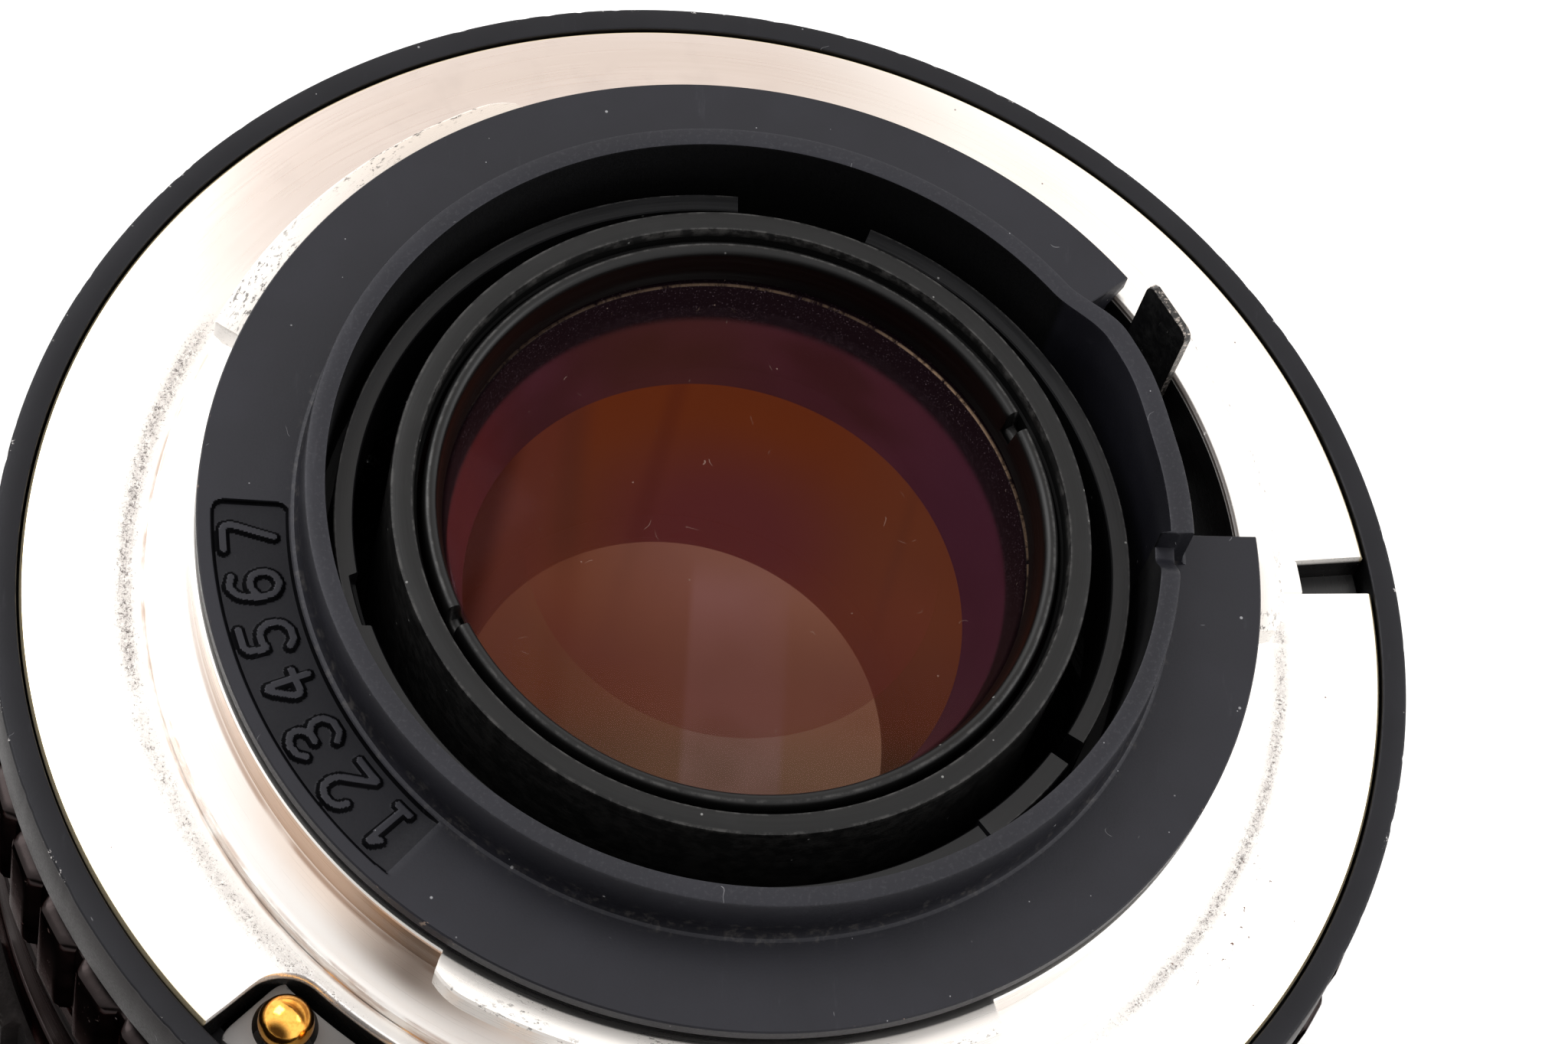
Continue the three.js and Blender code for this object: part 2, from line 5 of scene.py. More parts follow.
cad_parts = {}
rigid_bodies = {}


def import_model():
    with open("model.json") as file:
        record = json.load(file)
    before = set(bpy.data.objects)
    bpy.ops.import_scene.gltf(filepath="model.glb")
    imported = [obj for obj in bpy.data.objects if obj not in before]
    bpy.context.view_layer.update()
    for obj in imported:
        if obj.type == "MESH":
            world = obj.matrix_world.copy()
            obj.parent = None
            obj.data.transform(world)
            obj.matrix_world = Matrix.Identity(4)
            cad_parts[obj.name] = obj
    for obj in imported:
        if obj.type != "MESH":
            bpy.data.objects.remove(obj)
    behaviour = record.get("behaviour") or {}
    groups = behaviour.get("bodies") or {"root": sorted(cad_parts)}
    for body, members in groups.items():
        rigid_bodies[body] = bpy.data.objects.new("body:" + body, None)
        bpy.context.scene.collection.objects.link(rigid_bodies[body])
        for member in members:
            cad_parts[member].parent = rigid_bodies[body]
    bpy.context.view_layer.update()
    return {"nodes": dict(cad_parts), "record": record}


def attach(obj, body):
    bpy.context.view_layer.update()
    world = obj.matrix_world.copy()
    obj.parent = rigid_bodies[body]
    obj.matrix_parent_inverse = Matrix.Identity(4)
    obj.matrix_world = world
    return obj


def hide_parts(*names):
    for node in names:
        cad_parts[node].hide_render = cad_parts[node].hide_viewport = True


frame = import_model()
F0 = 41.0            # flange plane above the front rim, mm
random.seed(7)
rad = math.radians


def F(z):
    return F0 + z


# ------------------------------------------------------------------ camera
cam_data = bpy.data.cameras.new("camera")
cam = bpy.data.objects.new("camera", cam_data)
bpy.context.scene.collection.objects.link(cam)
right, up, back = (0.98498, 0, 0.17266), (-0.08407, 0.87345, 0.47960), (-0.15081, -0.48692, 0.86033)
m = Matrix([[right[i], up[i], back[i]] for i in range(3)]).to_4x4()
m.translation = Vector((-25.91, -89.30, 205.85)) / 1000
cam.matrix_world = m
cam_data.lens = 100.2
cam_data.sensor_width = 36
cam_data.clip_start = 0.005
bpy.context.scene.camera = cam

# ------------------------------------------------------------------ light
scene = bpy.context.scene
scene.view_settings.view_transform = "Standard"
world = bpy.data.worlds.new("studio")
scene.world = world
world.use_nodes = True
wn, wl = world.node_tree.nodes, world.node_tree.links
bg = wn["Background"]
tc = wn.new("ShaderNodeTexCoord")
dot = wn.new("ShaderNodeVectorMath"); dot.operation = "DOT_PRODUCT"
az, el = rad(84), rad(47)
dot.inputs[1].default_value = (math.cos(el) * math.cos(az), math.cos(el) * math.sin(az), math.sin(el))
wl.new(tc.outputs["Generated"], dot.inputs[0])
mr = wn.new("ShaderNodeMapRange"); mr.interpolation_type = "SMOOTHSTEP"
mr.inputs["From Min"].default_value = math.cos(rad(20)); mr.inputs["From Max"].default_value = math.cos(rad(6))
wl.new(dot.outputs["Value"], mr.inputs["Value"])
mixw = wn.new("ShaderNodeMix"); mixw.data_type = "RGBA"
mixw.inputs[6].default_value = (1.0, 0.99, 0.985, 1)
mixw.inputs[7].default_value = (0.72, 0.66, 0.61, 1)
wl.new(mr.outputs["Result"], mixw.inputs[0])
dot2 = wn.new("ShaderNodeVectorMath"); dot2.operation = "DOT_PRODUCT"
az, el = rad(-122), rad(8)
dot2.inputs[1].default_value = (math.cos(el) * math.cos(az), math.cos(el) * math.sin(az), math.sin(el))
wl.new(tc.outputs["Generated"], dot2.inputs[0])
mr2 = wn.new("ShaderNodeMapRange"); mr2.interpolation_type = "SMOOTHSTEP"
mr2.inputs["From Min"].default_value = math.cos(rad(62)); mr2.inputs["From Max"].default_value = math.cos(rad(22))
wl.new(dot2.outputs["Value"], mr2.inputs["Value"])
mixv = wn.new("ShaderNodeMix"); mixv.data_type = "RGBA"
mixv.inputs[7].default_value = (0.045, 0.037, 0.035, 1)
wl.new(mr2.outputs["Result"], mixv.inputs[0]); wl.new(mixw.outputs[2], mixv.inputs[6])
wl.new(mixv.outputs[2], bg.inputs["Color"])
bg.inputs["Strength"].default_value = 1.50


def area(name, loc, target, size, power, color=(1, 1, 1)):
    d = bpy.data.lights.new(name, "AREA")
    d.shape = "SQUARE"; d.size = size; d.energy = power; d.color = color
    o = bpy.data.objects.new(name, d)
    scene.collection.objects.link(o)
    o.location = loc
    o.rotation_euler = (Vector(target) - Vector(loc)).to_track_quat("-Z", "Y").to_euler()
    return o


area("key", (-0.30, 0.25, 0.45), (0, 0, 0.04), 0.30, 1.6)
area("fill", (0.40, 0.05, 0.35), (0, 0, 0.04), 0.25, 0.7)

# ------------------------------------------------------------------ mesh tools


def make(name, verts, faces, body, mats, mat_index=None, smooth_deg=32, replaces=()):
    """A mesh piece from millimetre vertices, smooth apart from its sharp edges."""
    me = bpy.data.meshes.new(name)
    me.from_pydata([(x / 1000, y / 1000, z / 1000) for x, y, z in verts], [], faces)
    for mt in (mats if isinstance(mats, (list, tuple)) else [mats]):
        me.materials.append(mt)
    if mat_index is not None:
        me.polygons.foreach_set("material_index", np.array(mat_index, np.int32))
    bm = bmesh.new(); bm.from_mesh(me)
    bmesh.ops.recalc_face_normals(bm, faces=bm.faces)
    bm.to_mesh(me); bm.free()
    me.polygons.foreach_set("use_smooth", [True] * len(me.polygons))
    me.set_sharp_from_angle(angle=rad(smooth_deg))
    o = bpy.data.objects.new(name, me)
    scene.collection.objects.link(o)
    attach(o, body)
    if replaces:
        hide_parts(*replaces)
    return o


def fillet(pts, n=3):
    """Rounds the corners of a closed (r, z, radius) outline; a radius of 0 keeps the corner."""
    out = []
    m_ = len(pts)
    for i in range(m_):
        p = np.array(pts[i][:2], float)
        r = pts[i][2] if len(pts[i]) > 2 else 0
        if r <= 0:
            out.append(tuple(p)); continue
        a = np.array(pts[i - 1][:2], float); b = np.array(pts[(i + 1) % m_][:2], float)
        da, db = a - p, b - p
        la, lb = np.linalg.norm(da), np.linalg.norm(db)
        da, db = da / la, db / lb
        c = float(np.clip(da @ db, -1, 1)); half = math.acos(c) / 2
        t = min(r / math.tan(half), la * 0.49, lb * 0.49)
        rr = t * math.tan(half)
        bis = (da + db); bis /= np.linalg.norm(bis)
        cen = p + bis * (rr / math.sin(half))
        s, e = p + da * t - cen, p + db * t - cen
        a0 = math.atan2(s[1], s[0]); a1 = math.atan2(e[1], e[0])
        d = (a1 - a0 + math.pi) % (2 * math.pi) - math.pi
        for k in range(n + 1):
            ang = a0 + d * k / n
            out.append((cen[0] + rr * math.cos(ang), cen[1] + rr * math.sin(ang)))
    return out


def revolve(slices, closed=True):
    """Grid mesh from [(angle_deg, [(r, z), ...]), ...], each outline closed and of one length."""
    n = len(slices[0][1]); V = []; Fc = []
    for a, prof in slices:
        ca, sa = math.cos(rad(a)), math.sin(rad(a))
        assert len(prof) == n, (a, len(prof), n)
        V += [(r * ca, r * sa, z) for r, z in prof]
    k = len(slices)
    for i in range(k):
        j = (i + 1) % k
        for p in range(n):
            q = (p + 1) % n
            Fc.append((i * n + p, j * n + p, j * n + q, i * n + q))
    return V, Fc


def lathe(prof, seg=192, wobble=None):
    """Solid of revolution; an outline that touches the axis closes there."""
    if all(p[0] > 1e-6 for p in prof):
        return revolve([(360 * i / seg, prof if wobble is None else wobble(360 * i / seg, prof)) for i in range(seg)])
    prof = [p for p in prof]
    V, Fc, rows = [], [], []
    for r, z in prof:
        if r <= 1e-6:
            rows.append([len(V)]); V.append((0, 0, z))
        else:
            rows.append(list(range(len(V), len(V) + seg)))
            V += [(r * math.cos(2 * math.pi * i / seg), r * math.sin(2 * math.pi * i / seg), z) for i in range(seg)]
    for a, b in zip(rows, rows[1:]):
        for i in range(seg):
            j = (i + 1) % seg
            if len(a) == 1 and len(b) == 1: continue
            if len(a) == 1: Fc.append((a[0], b[i], b[j]))
            elif len(b) == 1: Fc.append((a[i], b[0], a[j]))
            else: Fc.append((a[i], b[i], b[j], a[j]))
    return V, Fc


def angles(step, *cuts):
    """Evenly spaced angles with extra ones at each cut."""
    s = set(round(i * step, 5) for i in range(int(round(360 / step))))
    for a, w in cuts:
        s = {x for x in s if not (a - w - step * 0.3 < x < a + w + step * 0.3 or a - w - step * 0.3 < x - 360 < a + w + step * 0.3)}
        s |= {round((a + d * w) % 360, 5) for d in (-1, -0.6, -0.25, 0.25, 0.6, 1)}
    return sorted(s)


def smooth(x, a, b):
    t = min(1, max(0, (x - a) / (b - a)))
    return t * t * (3 - 2 * t)


def win(a, a0, a1, w):
    """1 between a0 and a1, with short ramps of half-width w at both ends (degrees, wrapping)."""
    mid = (a0 + a1) / 2
    d = (a - mid + 180) % 360 - 180
    h = (a1 - a0) / 2
    return smooth(h - abs(d), -w, w)


def lerp(p, q, t):
    return [((1 - t) * a[0] + t * b[0], (1 - t) * a[1] + t * b[1]) for a, b in zip(p, q)]


def join(*parts):
    V, Fc = [], []
    for v, f in parts:
        o = len(V); V += list(v); Fc += [tuple(i + o for i in t) for t in f]
    return V, Fc


def box(u, v, z, a=0.0, ch=0.05):
    """A bar with chamfered edges, in a frame turned by a degrees: u radial, v tangential."""
    (u0, u1), (v0, v1), (z0, z1) = u, v, z
    bm = bmesh.new()
    bmesh.ops.create_cube(bm, size=1)
    for vv in bm.verts:
        vv.co = Vector(((u0 + u1) / 2 + vv.co.x * (u1 - u0), (v0 + v1) / 2 + vv.co.y * (v1 - v0), (z0 + z1) / 2 + vv.co.z * (z1 - z0)))
    bmesh.ops.bevel(bm, geom=list(bm.edges), offset=ch, segments=2, profile=0.6, affect="EDGES")
    ca, sa = math.cos(rad(a)), math.sin(rad(a))
    bm.verts.ensure_lookup_table()
    V = [(p.co.x * ca - p.co.y * sa, p.co.x * sa + p.co.y * ca, p.co.z) for p in bm.verts]
    Fc = [tuple(q.index for q in f.verts) for f in bm.faces]
    bm.free()
    return V, Fc


# ------------------------------------------------------------------ material tools


class Mat:
    def __init__(self, name):
        self.m = bpy.data.materials.new(name)
        self.m.use_nodes = True
        self.t = self.m.node_tree
        self.b = self.t.nodes["Principled BSDF"]
        tcn = self.t.nodes.new("ShaderNodeTexCoord")
        sc = self.t.nodes.new("ShaderNodeVectorMath"); sc.operation = "SCALE"
        sc.inputs["Scale"].default_value = 1000
        self.t.links.new(tcn.outputs["Object"], sc.inputs[0])
        self.p = sc.outputs[0]                       # position in millimetres
        self._xyz = None

    def link(self, a, b):
        if isinstance(a, (int, float)): b.default_value = a
        elif isinstance(a, tuple): b.default_value = a if len(a) == 4 or b.type != "RGBA" else (*a, 1)
        else: self.t.links.new(a, b)

    def math(self, op, a, b=0.0, c=0.0, clamp=False):
        n = self.t.nodes.new("ShaderNodeMath"); n.operation = op; n.use_clamp = clamp
        for s, v in zip(n.inputs, (a, b, c)): self.link(v, s)
        return n.outputs[0]

    def xyz(self):
        if self._xyz is None:
            n = self.t.nodes.new("ShaderNodeSeparateXYZ"); self.link(self.p, n.inputs[0])
            self._xyz = n.outputs
        return self._xyz

    def R(self):
        x, y = self.xyz()[0], self.xyz()[1]
        return self.math("SQRT", self.math("ADD", self.math("MULTIPLY", x, x), self.math("MULTIPLY", y, y)))

    def ang(self):
        x, y = self.xyz()[0], self.xyz()[1]
        a = self.math("MULTIPLY", self.math("ARCTAN2", y, x), 180 / math.pi)
        return self.math("FLOORED_MODULO", a, 360.0)

    def zf(self):
        return self.math("SUBTRACT", self.xyz()[2], F0)

    def step(self, x, lo, hi, a=0.0, b=1.0):
        n = self.t.nodes.new("ShaderNodeMapRange"); n.interpolation_type = "SMOOTHSTEP"
        self.link(x, n.inputs["Value"])
        n.inputs["From Min"].default_value = lo; n.inputs["From Max"].default_value = hi
        n.inputs["To Min"].default_value = a; n.inputs["To Max"].default_value = b
        return n.outputs["Result"]

    def lin(self, x, lo, hi, a=0.0, b=1.0):
        n = self.t.nodes.new("ShaderNodeMapRange")
        self.link(x, n.inputs["Value"])
        n.inputs["From Min"].default_value = lo; n.inputs["From Max"].default_value = hi
        n.inputs["To Min"].default_value = a; n.inputs["To Max"].default_value = b
        return n.outputs["Result"]

    def band(self, x, a, b, w):
        return self.math("MULTIPLY", self.step(x, a - w, a + w), self.step(x, b - w, b + w, 1.0, 0.0))

    def mul(self, *xs):
        r = xs[0]
        for x in xs[1:]: r = self.math("MULTIPLY", r, x)
        return r

    def mx(self, a, b):
        return self.math("MAXIMUM", a, b)

    def noise(self, scale, detail=3.0, rough=0.5, vec=None, dist=0.0, seed=0.0):
        n = self.t.nodes.new("ShaderNodeTexNoise"); n.noise_dimensions = "4D"
        self.link(vec if vec is not None else self.p, n.inputs["Vector"])
        n.inputs["W"].default_value = seed
        n.inputs["Scale"].default_value = scale; n.inputs["Detail"].default_value = detail
        n.inputs["Roughness"].default_value = rough; n.inputs["Distortion"].default_value = dist
        return n.outputs["Fac"]

    def stretch(self, sx, sy, sz):
        n = self.t.nodes.new("ShaderNodeVectorMath"); n.operation = "MULTIPLY"
        self.link(self.p, n.inputs[0]); n.inputs[1].default_value = (sx, sy, sz)
        return n.outputs[0]

    def polar(self, kr=1.0, ka=1.0, kz=1.0):
        """Vector (radius, arc length, height) for marks that run around the axis."""
        n = self.t.nodes.new("ShaderNodeCombineXYZ")
        self.link(self.math("MULTIPLY", self.R(), kr), n.inputs[0])
        self.link(self.math("MULTIPLY", self.ang(), ka), n.inputs[1])
        self.link(self.math("MULTIPLY", self.xyz()[2], kz), n.inputs[2])
        return n.outputs[0]

    def specks(self, scale, size, share, vec=None):
        """Sparse small dots: 1 inside a dot."""
        n = self.t.nodes.new("ShaderNodeTexVoronoi"); n.feature = "F1"
        self.link(vec if vec is not None else self.p, n.inputs["Vector"])
        n.inputs["Scale"].default_value = scale
        d = self.step(n.outputs["Distance"], size * 0.6, size, 1.0, 0.0)
        sep = self.t.nodes.new("ShaderNodeSeparateColor"); self.link(n.outputs["Color"], sep.inputs[0])
        return self.math("MULTIPLY", d, self.math("LESS_THAN", sep.outputs[0], share))

    def fibre(self, scale=0.7, gate=0.715, seed=31):
        """Sparse short curved hairs: level lines of a soft noise, cut short by a second one."""
        n = self.noise(scale, 1, 0.3, seed=seed)
        d = self.math("ABSOLUTE", self.math("SUBTRACT", n, 0.5))
        line = self.step(d, 0.002 * scale, 0.006 * scale, 1.0, 0.0)
        return self.mul(line, self.step(self.noise(scale * 1.3, 1, 0.3, seed=seed + 3), gate, gate + 0.02))

    def mix(self, fac, a, b):
        n = self.t.nodes.new("ShaderNodeMix"); n.data_type = "RGBA"
        self.link(fac, n.inputs[0])
        for v, s in ((a, n.inputs[6]), (b, n.inputs[7])):
            if isinstance(v, tuple): s.default_value = (*v[:3], 1)
            else: self.t.links.new(v, s)
        return n.outputs[2]

    def mixf(self, fac, a, b):
        n = self.t.nodes.new("ShaderNodeMix"); n.data_type = "FLOAT"
        self.link(fac, n.inputs[0]); self.link(a, n.inputs[2]); self.link(b, n.inputs[3])
        return n.outputs[0]

    def normal_z(self):
        g = self.t.nodes.new("ShaderNodeNewGeometry")
        s = self.t.nodes.new("ShaderNodeSeparateXYZ"); self.t.links.new(g.outputs["True Normal"], s.inputs[0])
        return self.math("ABSOLUTE", s.outputs[2])

    def bump(self, h, dist, strength=1.0):
        n = self.t.nodes.new("ShaderNodeBump")
        n.inputs["Strength"].default_value = strength; n.inputs["Distance"].default_value = dist / 1000
        self.link(h, n.inputs["Height"])
        self.t.links.new(n.outputs["Normal"], self.b.inputs["Normal"])

    def set(self, **kw):
        names = {"color": "Base Color", "rough": "Roughness", "metal": "Metallic", "spec": "Specular IOR Level", "alpha": "Alpha",
                 "coat": "Coat Weight", "coat_rough": "Coat Roughness", "emission": "Emission Color", "glow": "Emission Strength", "tint": "Specular Tint"}
        for k, v in kw.items():
            s = self.b.inputs[names[k]]
            if isinstance(v, tuple): s.default_value = (*v[:3], 1)
            elif isinstance(v, (int, float)): s.default_value = v
            else: self.t.links.new(v, s)
        return self


# ------------------------------------------------------------------ materials
def mat_nickel():
    M = Mat("nickel_plate")
    R, A, z, nz = M.R(), M.ang(), M.zf(), M.normal_z()
    base = (0.86, 0.835, 0.80)
    cloud = M.noise(0.16, 2, seed=2)
    c = M.mix(M.step(cloud, 0.35, 0.7), base, (0.84, 0.81, 0.77))
    flat = M.math("MULTIPLY", M.step(nz, 0.6, 0.9), M.step(R, 24.4, 24.8))
    # painted warm reflection across the flat far side of the plate
    warm = M.mul(M.band(A, 74.0, 146.0, 13.0), flat)
    c = M.mix(warm, c, (0.64, 0.565, 0.52))
    # darker mottled patches across the flat far side
    far_side_mottle = M.mul(M.band(A, 84.0, 140.0, 16.0), flat, M.step(M.noise(0.35, 3, 0.6, seed=21), 0.5, 0.72), 0.30)
    c = M.mix(far_side_mottle, c, (0.50, 0.44, 0.41))
    # steep faces painted warm brown as a reflection, with painted warm shade darkest low on the near side
    side = M.step(nz, 0.25, 0.75, 1.0, 0.0)
    near = M.band(A, 196.0, 290.0, 24.0)
    farm = M.band(A, 60.0, 165.0, 12.0)
    # far-side steep faces painted warm brown, a painted reflection
    c = M.mix(M.mul(side, farm, M.step(A, 152.0, 140.0), 0.5), c, (0.60, 0.48, 0.38))
    cone = M.mul(M.band(R, 22.95, 24.45, 0.10), M.band(z, 0.7, 3.3, 0.1))
    # cone painted near-white and made non-metallic, a painted highlight against the shade under the guard
    c = M.mix(cone, c, (0.93, 0.90, 0.865))
    # warm streaky shade painted on the near side of the cone
    c = M.mix(M.mul(cone, M.step(M.noise(0.8, 3, 0.6, M.polar(2.0, 0.08, 1.0)), 0.35, 0.75), near, 0.12), c, (0.78, 0.68, 0.60))
    # painted warm shade on the inner part of the cone, on the near side
    c = M.mix(M.mul(cone, M.band(A, 212.0, 262.0, 14.0), M.step(R, 24.0, 23.1), 0.55), c, (0.70, 0.49, 0.345))
    # neck strip on the near side painted tan-brown, a painted warm reflection
    c = M.mix(M.mul(side, near, M.step(R, 23.05, 22.92), 0.94), c, (0.52, 0.325, 0.205))
    # end face of the first lug painted near-white and non-metallic, a painted highlight
    painted_bright_lug_end = M.mul(M.band(A, 154.0, 164.0, 1.0), M.band(z, 3.1, 4.62, 0.06), M.step(R, 22.6, 22.8))
    c = M.mix(painted_bright_lug_end, c, (0.93, 0.90, 0.865))
    # brown line of painted shade in the crease where the cone meets the neck, on the near side
    crease_shade = M.mul(M.band(R, 22.90, 23.04, 0.05), near, M.band(z, 2.0, 4.5, 0.3), M.step(M.noise(0.35, 2, 0.5), 0.20, 0.50))
    c = M.mix(M.mul(crease_shade, 0.75), c, (0.30, 0.165, 0.095))
    # painted shadow darkening the corner where the second lug begins
    painted_lug_shadow = M.mul(M.band(A, 231.0, 243.0, 7.0), M.step(R, 23.4, 24.2, 1.0, 0.0), M.step(z, 4.55, 4.65, 1.0, 0.0), M.step(R, 22.1, 22.3))
    c = M.mix(M.mul(painted_lug_shadow, 0.88), c, (0.075, 0.045, 0.027))
    # brown foot line of the register shoulder, painted shade on its upright side
    foot = M.mul(M.band(R, 24.42, 24.72, 0.06), M.step(M.noise(0.9, 3, 0.6, M.polar(2.0, 0.25, 2.0)), 0.36, 0.62), M.band(A, 150.0, 262.0, 14.0))
    c = M.mix(M.mul(foot, 0.65), c, (0.42, 0.28, 0.20))
    # worn arcs where the camera's leaf springs rub
    grain = M.noise(9.5, 4, 0.9, seed=5)
    patchy = M.noise(0.55, 2, 0.5, M.polar(1.2, 0.10, 1.0), seed=1)
    arc1 = M.mul(M.band(A, 153.0, 196.0, 5.0), M.band(R, 25.16, 25.66, 0.55))
    arc3 = M.mul(M.band(A, 195.0, 236.0, 6.0), M.band(R, 25.15, 25.75, 0.60), 0.66)
    arc2 = M.mul(M.mx(M.band(A, 312.0, 362.0, 9.0), M.band(A, -3.0, 2.5, 2.0)), M.band(R, 25.08, 25.48, 0.42), 0.92)
    arc = M.math("MULTIPLY", M.mx(arc1, M.mx(arc2, arc3)), M.step(patchy, 0.15, 0.5, 0.45, 1.0))
    worn = M.math("MULTIPLY", M.step(M.math("ADD", grain, M.mul(arc, 0.18)), 0.615, 0.67), M.step(arc, 0.05, 0.2))
    soft = M.mul(arc, M.step(M.noise(3.5, 4, 0.8, seed=25), 0.28, 0.60), 0.74)
    c = M.mix(soft, c, (0.25, 0.215, 0.205))
    c = M.mix(M.mul(worn, 0.90), c, (0.060, 0.044, 0.040))
    # lug tops: slightly warm, the first lug painted tan as a warm reflection, with dark specks
    lug = M.mul(M.step(z, 4.55, 4.68), M.step(R, 22.85, 22.95))
    lug_a = M.mul(lug, M.band(A, 100.0, 138.0, 14.0))
    c = M.mix(M.mul(lug, 0.4), c, (0.88, 0.82, 0.76))
    c = M.mix(M.mul(lug_a, 0.9), c, (0.60, 0.53, 0.465))
    ls = M.mul(lug, M.step(M.noise(1.0, 4, 0.72, M.polar(6.8, 1.15, 1.0), seed=3), 0.555, 0.60), M.mx(M.step(R, 23.6, 24.1), M.step(M.noise(0.3, 2, seed=8), 0.50, 0.65)))
    c = M.mix(M.mul(ls, M.mixf(lug_a, 0.72, 1.0)), c, (0.022, 0.018, 0.016))
    # loose dark specks and chips
    sp = M.mul(M.specks(1.0, 0.055, 0.22), flat)
    c = M.mix(M.mul(sp, 0.8), c, (0.16, 0.10, 0.09))
    chips = M.mul(M.band(A, 320.0, 336.0, 4.0), M.band(R, 24.9, 27.2, 0.3), M.step(M.noise(3.2, 3, 0.7, seed=9), 0.655, 0.68))
    c = M.mix(chips, c, (0.14, 0.075, 0.06))
    lip = M.mul(M.band(R, 22.1, 22.40, 0.05), M.band(A, 3.0, 41.0, 1.0), M.step(z, 4.5, 4.62), M.step(M.noise(2.2, 3, 0.7, seed=15), 0.20, 0.42))
    c = M.mix(M.mul(lip, 0.96), c, (0.045, 0.033, 0.027))
    # turned outer bevel, worn to yellow metal
    edge = M.step(R, 29.60, 29.68)
    c = M.mix(M.mul(edge, 0.8), c, (0.62, 0.50, 0.27))
    # slot and pocket walls and the inner bore, painted near-black and non-metallic as shade
    low = M.mx(M.step(z, -0.45, -0.2, 1.0, 0.0), M.mul(M.step(R, 22.21, 22.23, 1.0, 0.0), M.step(z, 4.45, 4.55, 1.0, 0.0)))
    c = M.mix(low, c, M.mix(M.noise(0.9, 2, 0.5, seed=17), (0.0012, 0.0011, 0.0011), (0.0070, 0.0064, 0.0066)))
    fine = M.noise(1.0, 2, 0.6, M.polar(9.0, 0.06, 9.0), seed=4)
    scr = M.noise(1.0, 2, 0.6, M.stretch(9, 0.35, 1), seed=6)
    soften = M.mx(M.mx(M.mul(worn, 0.6), M.mul(lug, 0.55)), M.mx(M.mx(M.mul(side, 0.75), M.mul(M.mx(cone, painted_bright_lug_end), 0.94)), lip))
    M.set(color=c, metal=M.mul(M.mixf(soften, 1.0, 0.0), M.mixf(low, 1.0, 0.0)), rough=M.math("ADD", M.lin(fine, 0.3, 0.7, 0.26, 0.32), M.mul(M.mx(worn, ls), 0.3)))
    h = M.math("ADD", M.mul(fine, 0.22), M.mul(scr, 0.10))
    h = M.math("SUBTRACT", h, M.mul(M.mx(worn, ls), 0.9))
    M.bump(h, 0.006, 0.4)
    return M.m


def mat_plastic(name, base, rough, dust=0.10, grain=9.0, bump=0.010, wear_and_painted_light=None, tint=(0.030, 0.030, 0.036), spec=0.30, fibres=True):
    M = Mat(name)
    g = M.noise(grain, 3, 0.6)
    cl = M.noise(0.22, 3, 0.55, seed=3)
    c = M.mix(M.step(cl, 0.35, 0.7), base, tuple(v * 1.5 + 0.001 for v in base))
    scuff = M.mul(M.step(M.noise(1.0, 4, 0.7, M.stretch(1.4, 0.25, 1.0), seed=8), 0.60, 0.75), 0.35)
    c = M.mix(scuff, c, tint)
    d = M.specks(0.62, 0.052, dust)
    d2 = M.specks(1.5, 0.055, dust * 0.35, M.stretch(1.0, 0.97, 1.03))
    c = M.mix(M.mul(M.mx(d, d2), 0.6), c, (0.33, 0.33, 0.34))
    if fibres:
        c = M.mix(M.mul(M.fibre(), 0.45), c, (0.25, 0.25, 0.26))
    if wear_and_painted_light is not None:
        c = wear_and_painted_light(M, c)
    M.set(color=c, rough=M.lin(g, 0.3, 0.7, rough - 0.06, rough + 0.07), spec=spec, tint=(0.93, 0.93, 1.0))
    M.bump(M.math("ADD", M.mul(g, 0.7), M.mul(cl, 0.6)), bump, 0.6)
    return M.m


def guard_rub(M, c):
    R, A, z, nz = M.R(), M.ang(), M.zf(), M.normal_z()
    # smoother grey sheen painted as a highlight on the top of the raised wall, dusty corner at its foot
    top = M.mul(M.step(z, 8.5, 8.75), M.band(R, 17.5, 19.3, 0.1))
    c = M.mix(M.mul(top, M.step(M.noise(5.0, 4, 0.75, seed=13), 0.52, 0.62), 0.5), c, (0.020, 0.020, 0.023))
    foot = M.mul(M.band(R, 18.45, 19.0, 0.15), M.band(z, 5.9, 6.9, 0.15), M.step(M.noise(2.0, 4, 0.7), 0.5, 0.68))
    c = M.mix(M.mul(foot, 0.45), c, (0.06, 0.055, 0.05))
    # inner wall painted near-black as shade
    inner_wall_shade = M.mul(M.step(R, 17.65, 17.75, 1.0, 0.0), M.step(nz, 0.3, 0.5, 1.0, 0.0))
    c = M.mix(inner_wall_shade, c, (0.0006, 0.0006, 0.0006))
    # bright nicks on the outer edge
    nick = M.mul(M.step(R, 22.62, 22.68), M.step(M.noise(1.6, 4, 0.75, seed=11), 0.64, 0.67))
    c = M.mix(M.mul(nick, 0.5), c, (0.30, 0.22, 0.17))
    return c


def rim_rub(M, c):
    R, z, nz = M.R(), M.zf(), M.normal_z()
    # rim side faces painted a dark reddish brown, a painted warm reflection
    side = M.mul(M.step(nz, 0.3, 0.6, 1.0, 0.0), M.step(R, 30.6, 30.8))
    c = M.mix(M.mul(side, 0.9), c, (0.0078, 0.0058, 0.0055))
    nick = M.mul(M.band(R, 30.86, 31.06, 0.05), M.step(M.noise(1.5, 5, 0.8, seed=5), 0.60, 0.635))
    c = M.mix(M.mul(nick, 0.85), c, (0.45, 0.43, 0.42))
    # inner face of the rim below the plate painted near-black as shade
    inner = M.mul(M.step(R, 29.95, 30.05, 1.0, 0.0), M.step(z, -0.2, -0.05, 1.0, 0.0))
    return M.mix(inner, c, (0.0008, 0.0008, 0.0008))


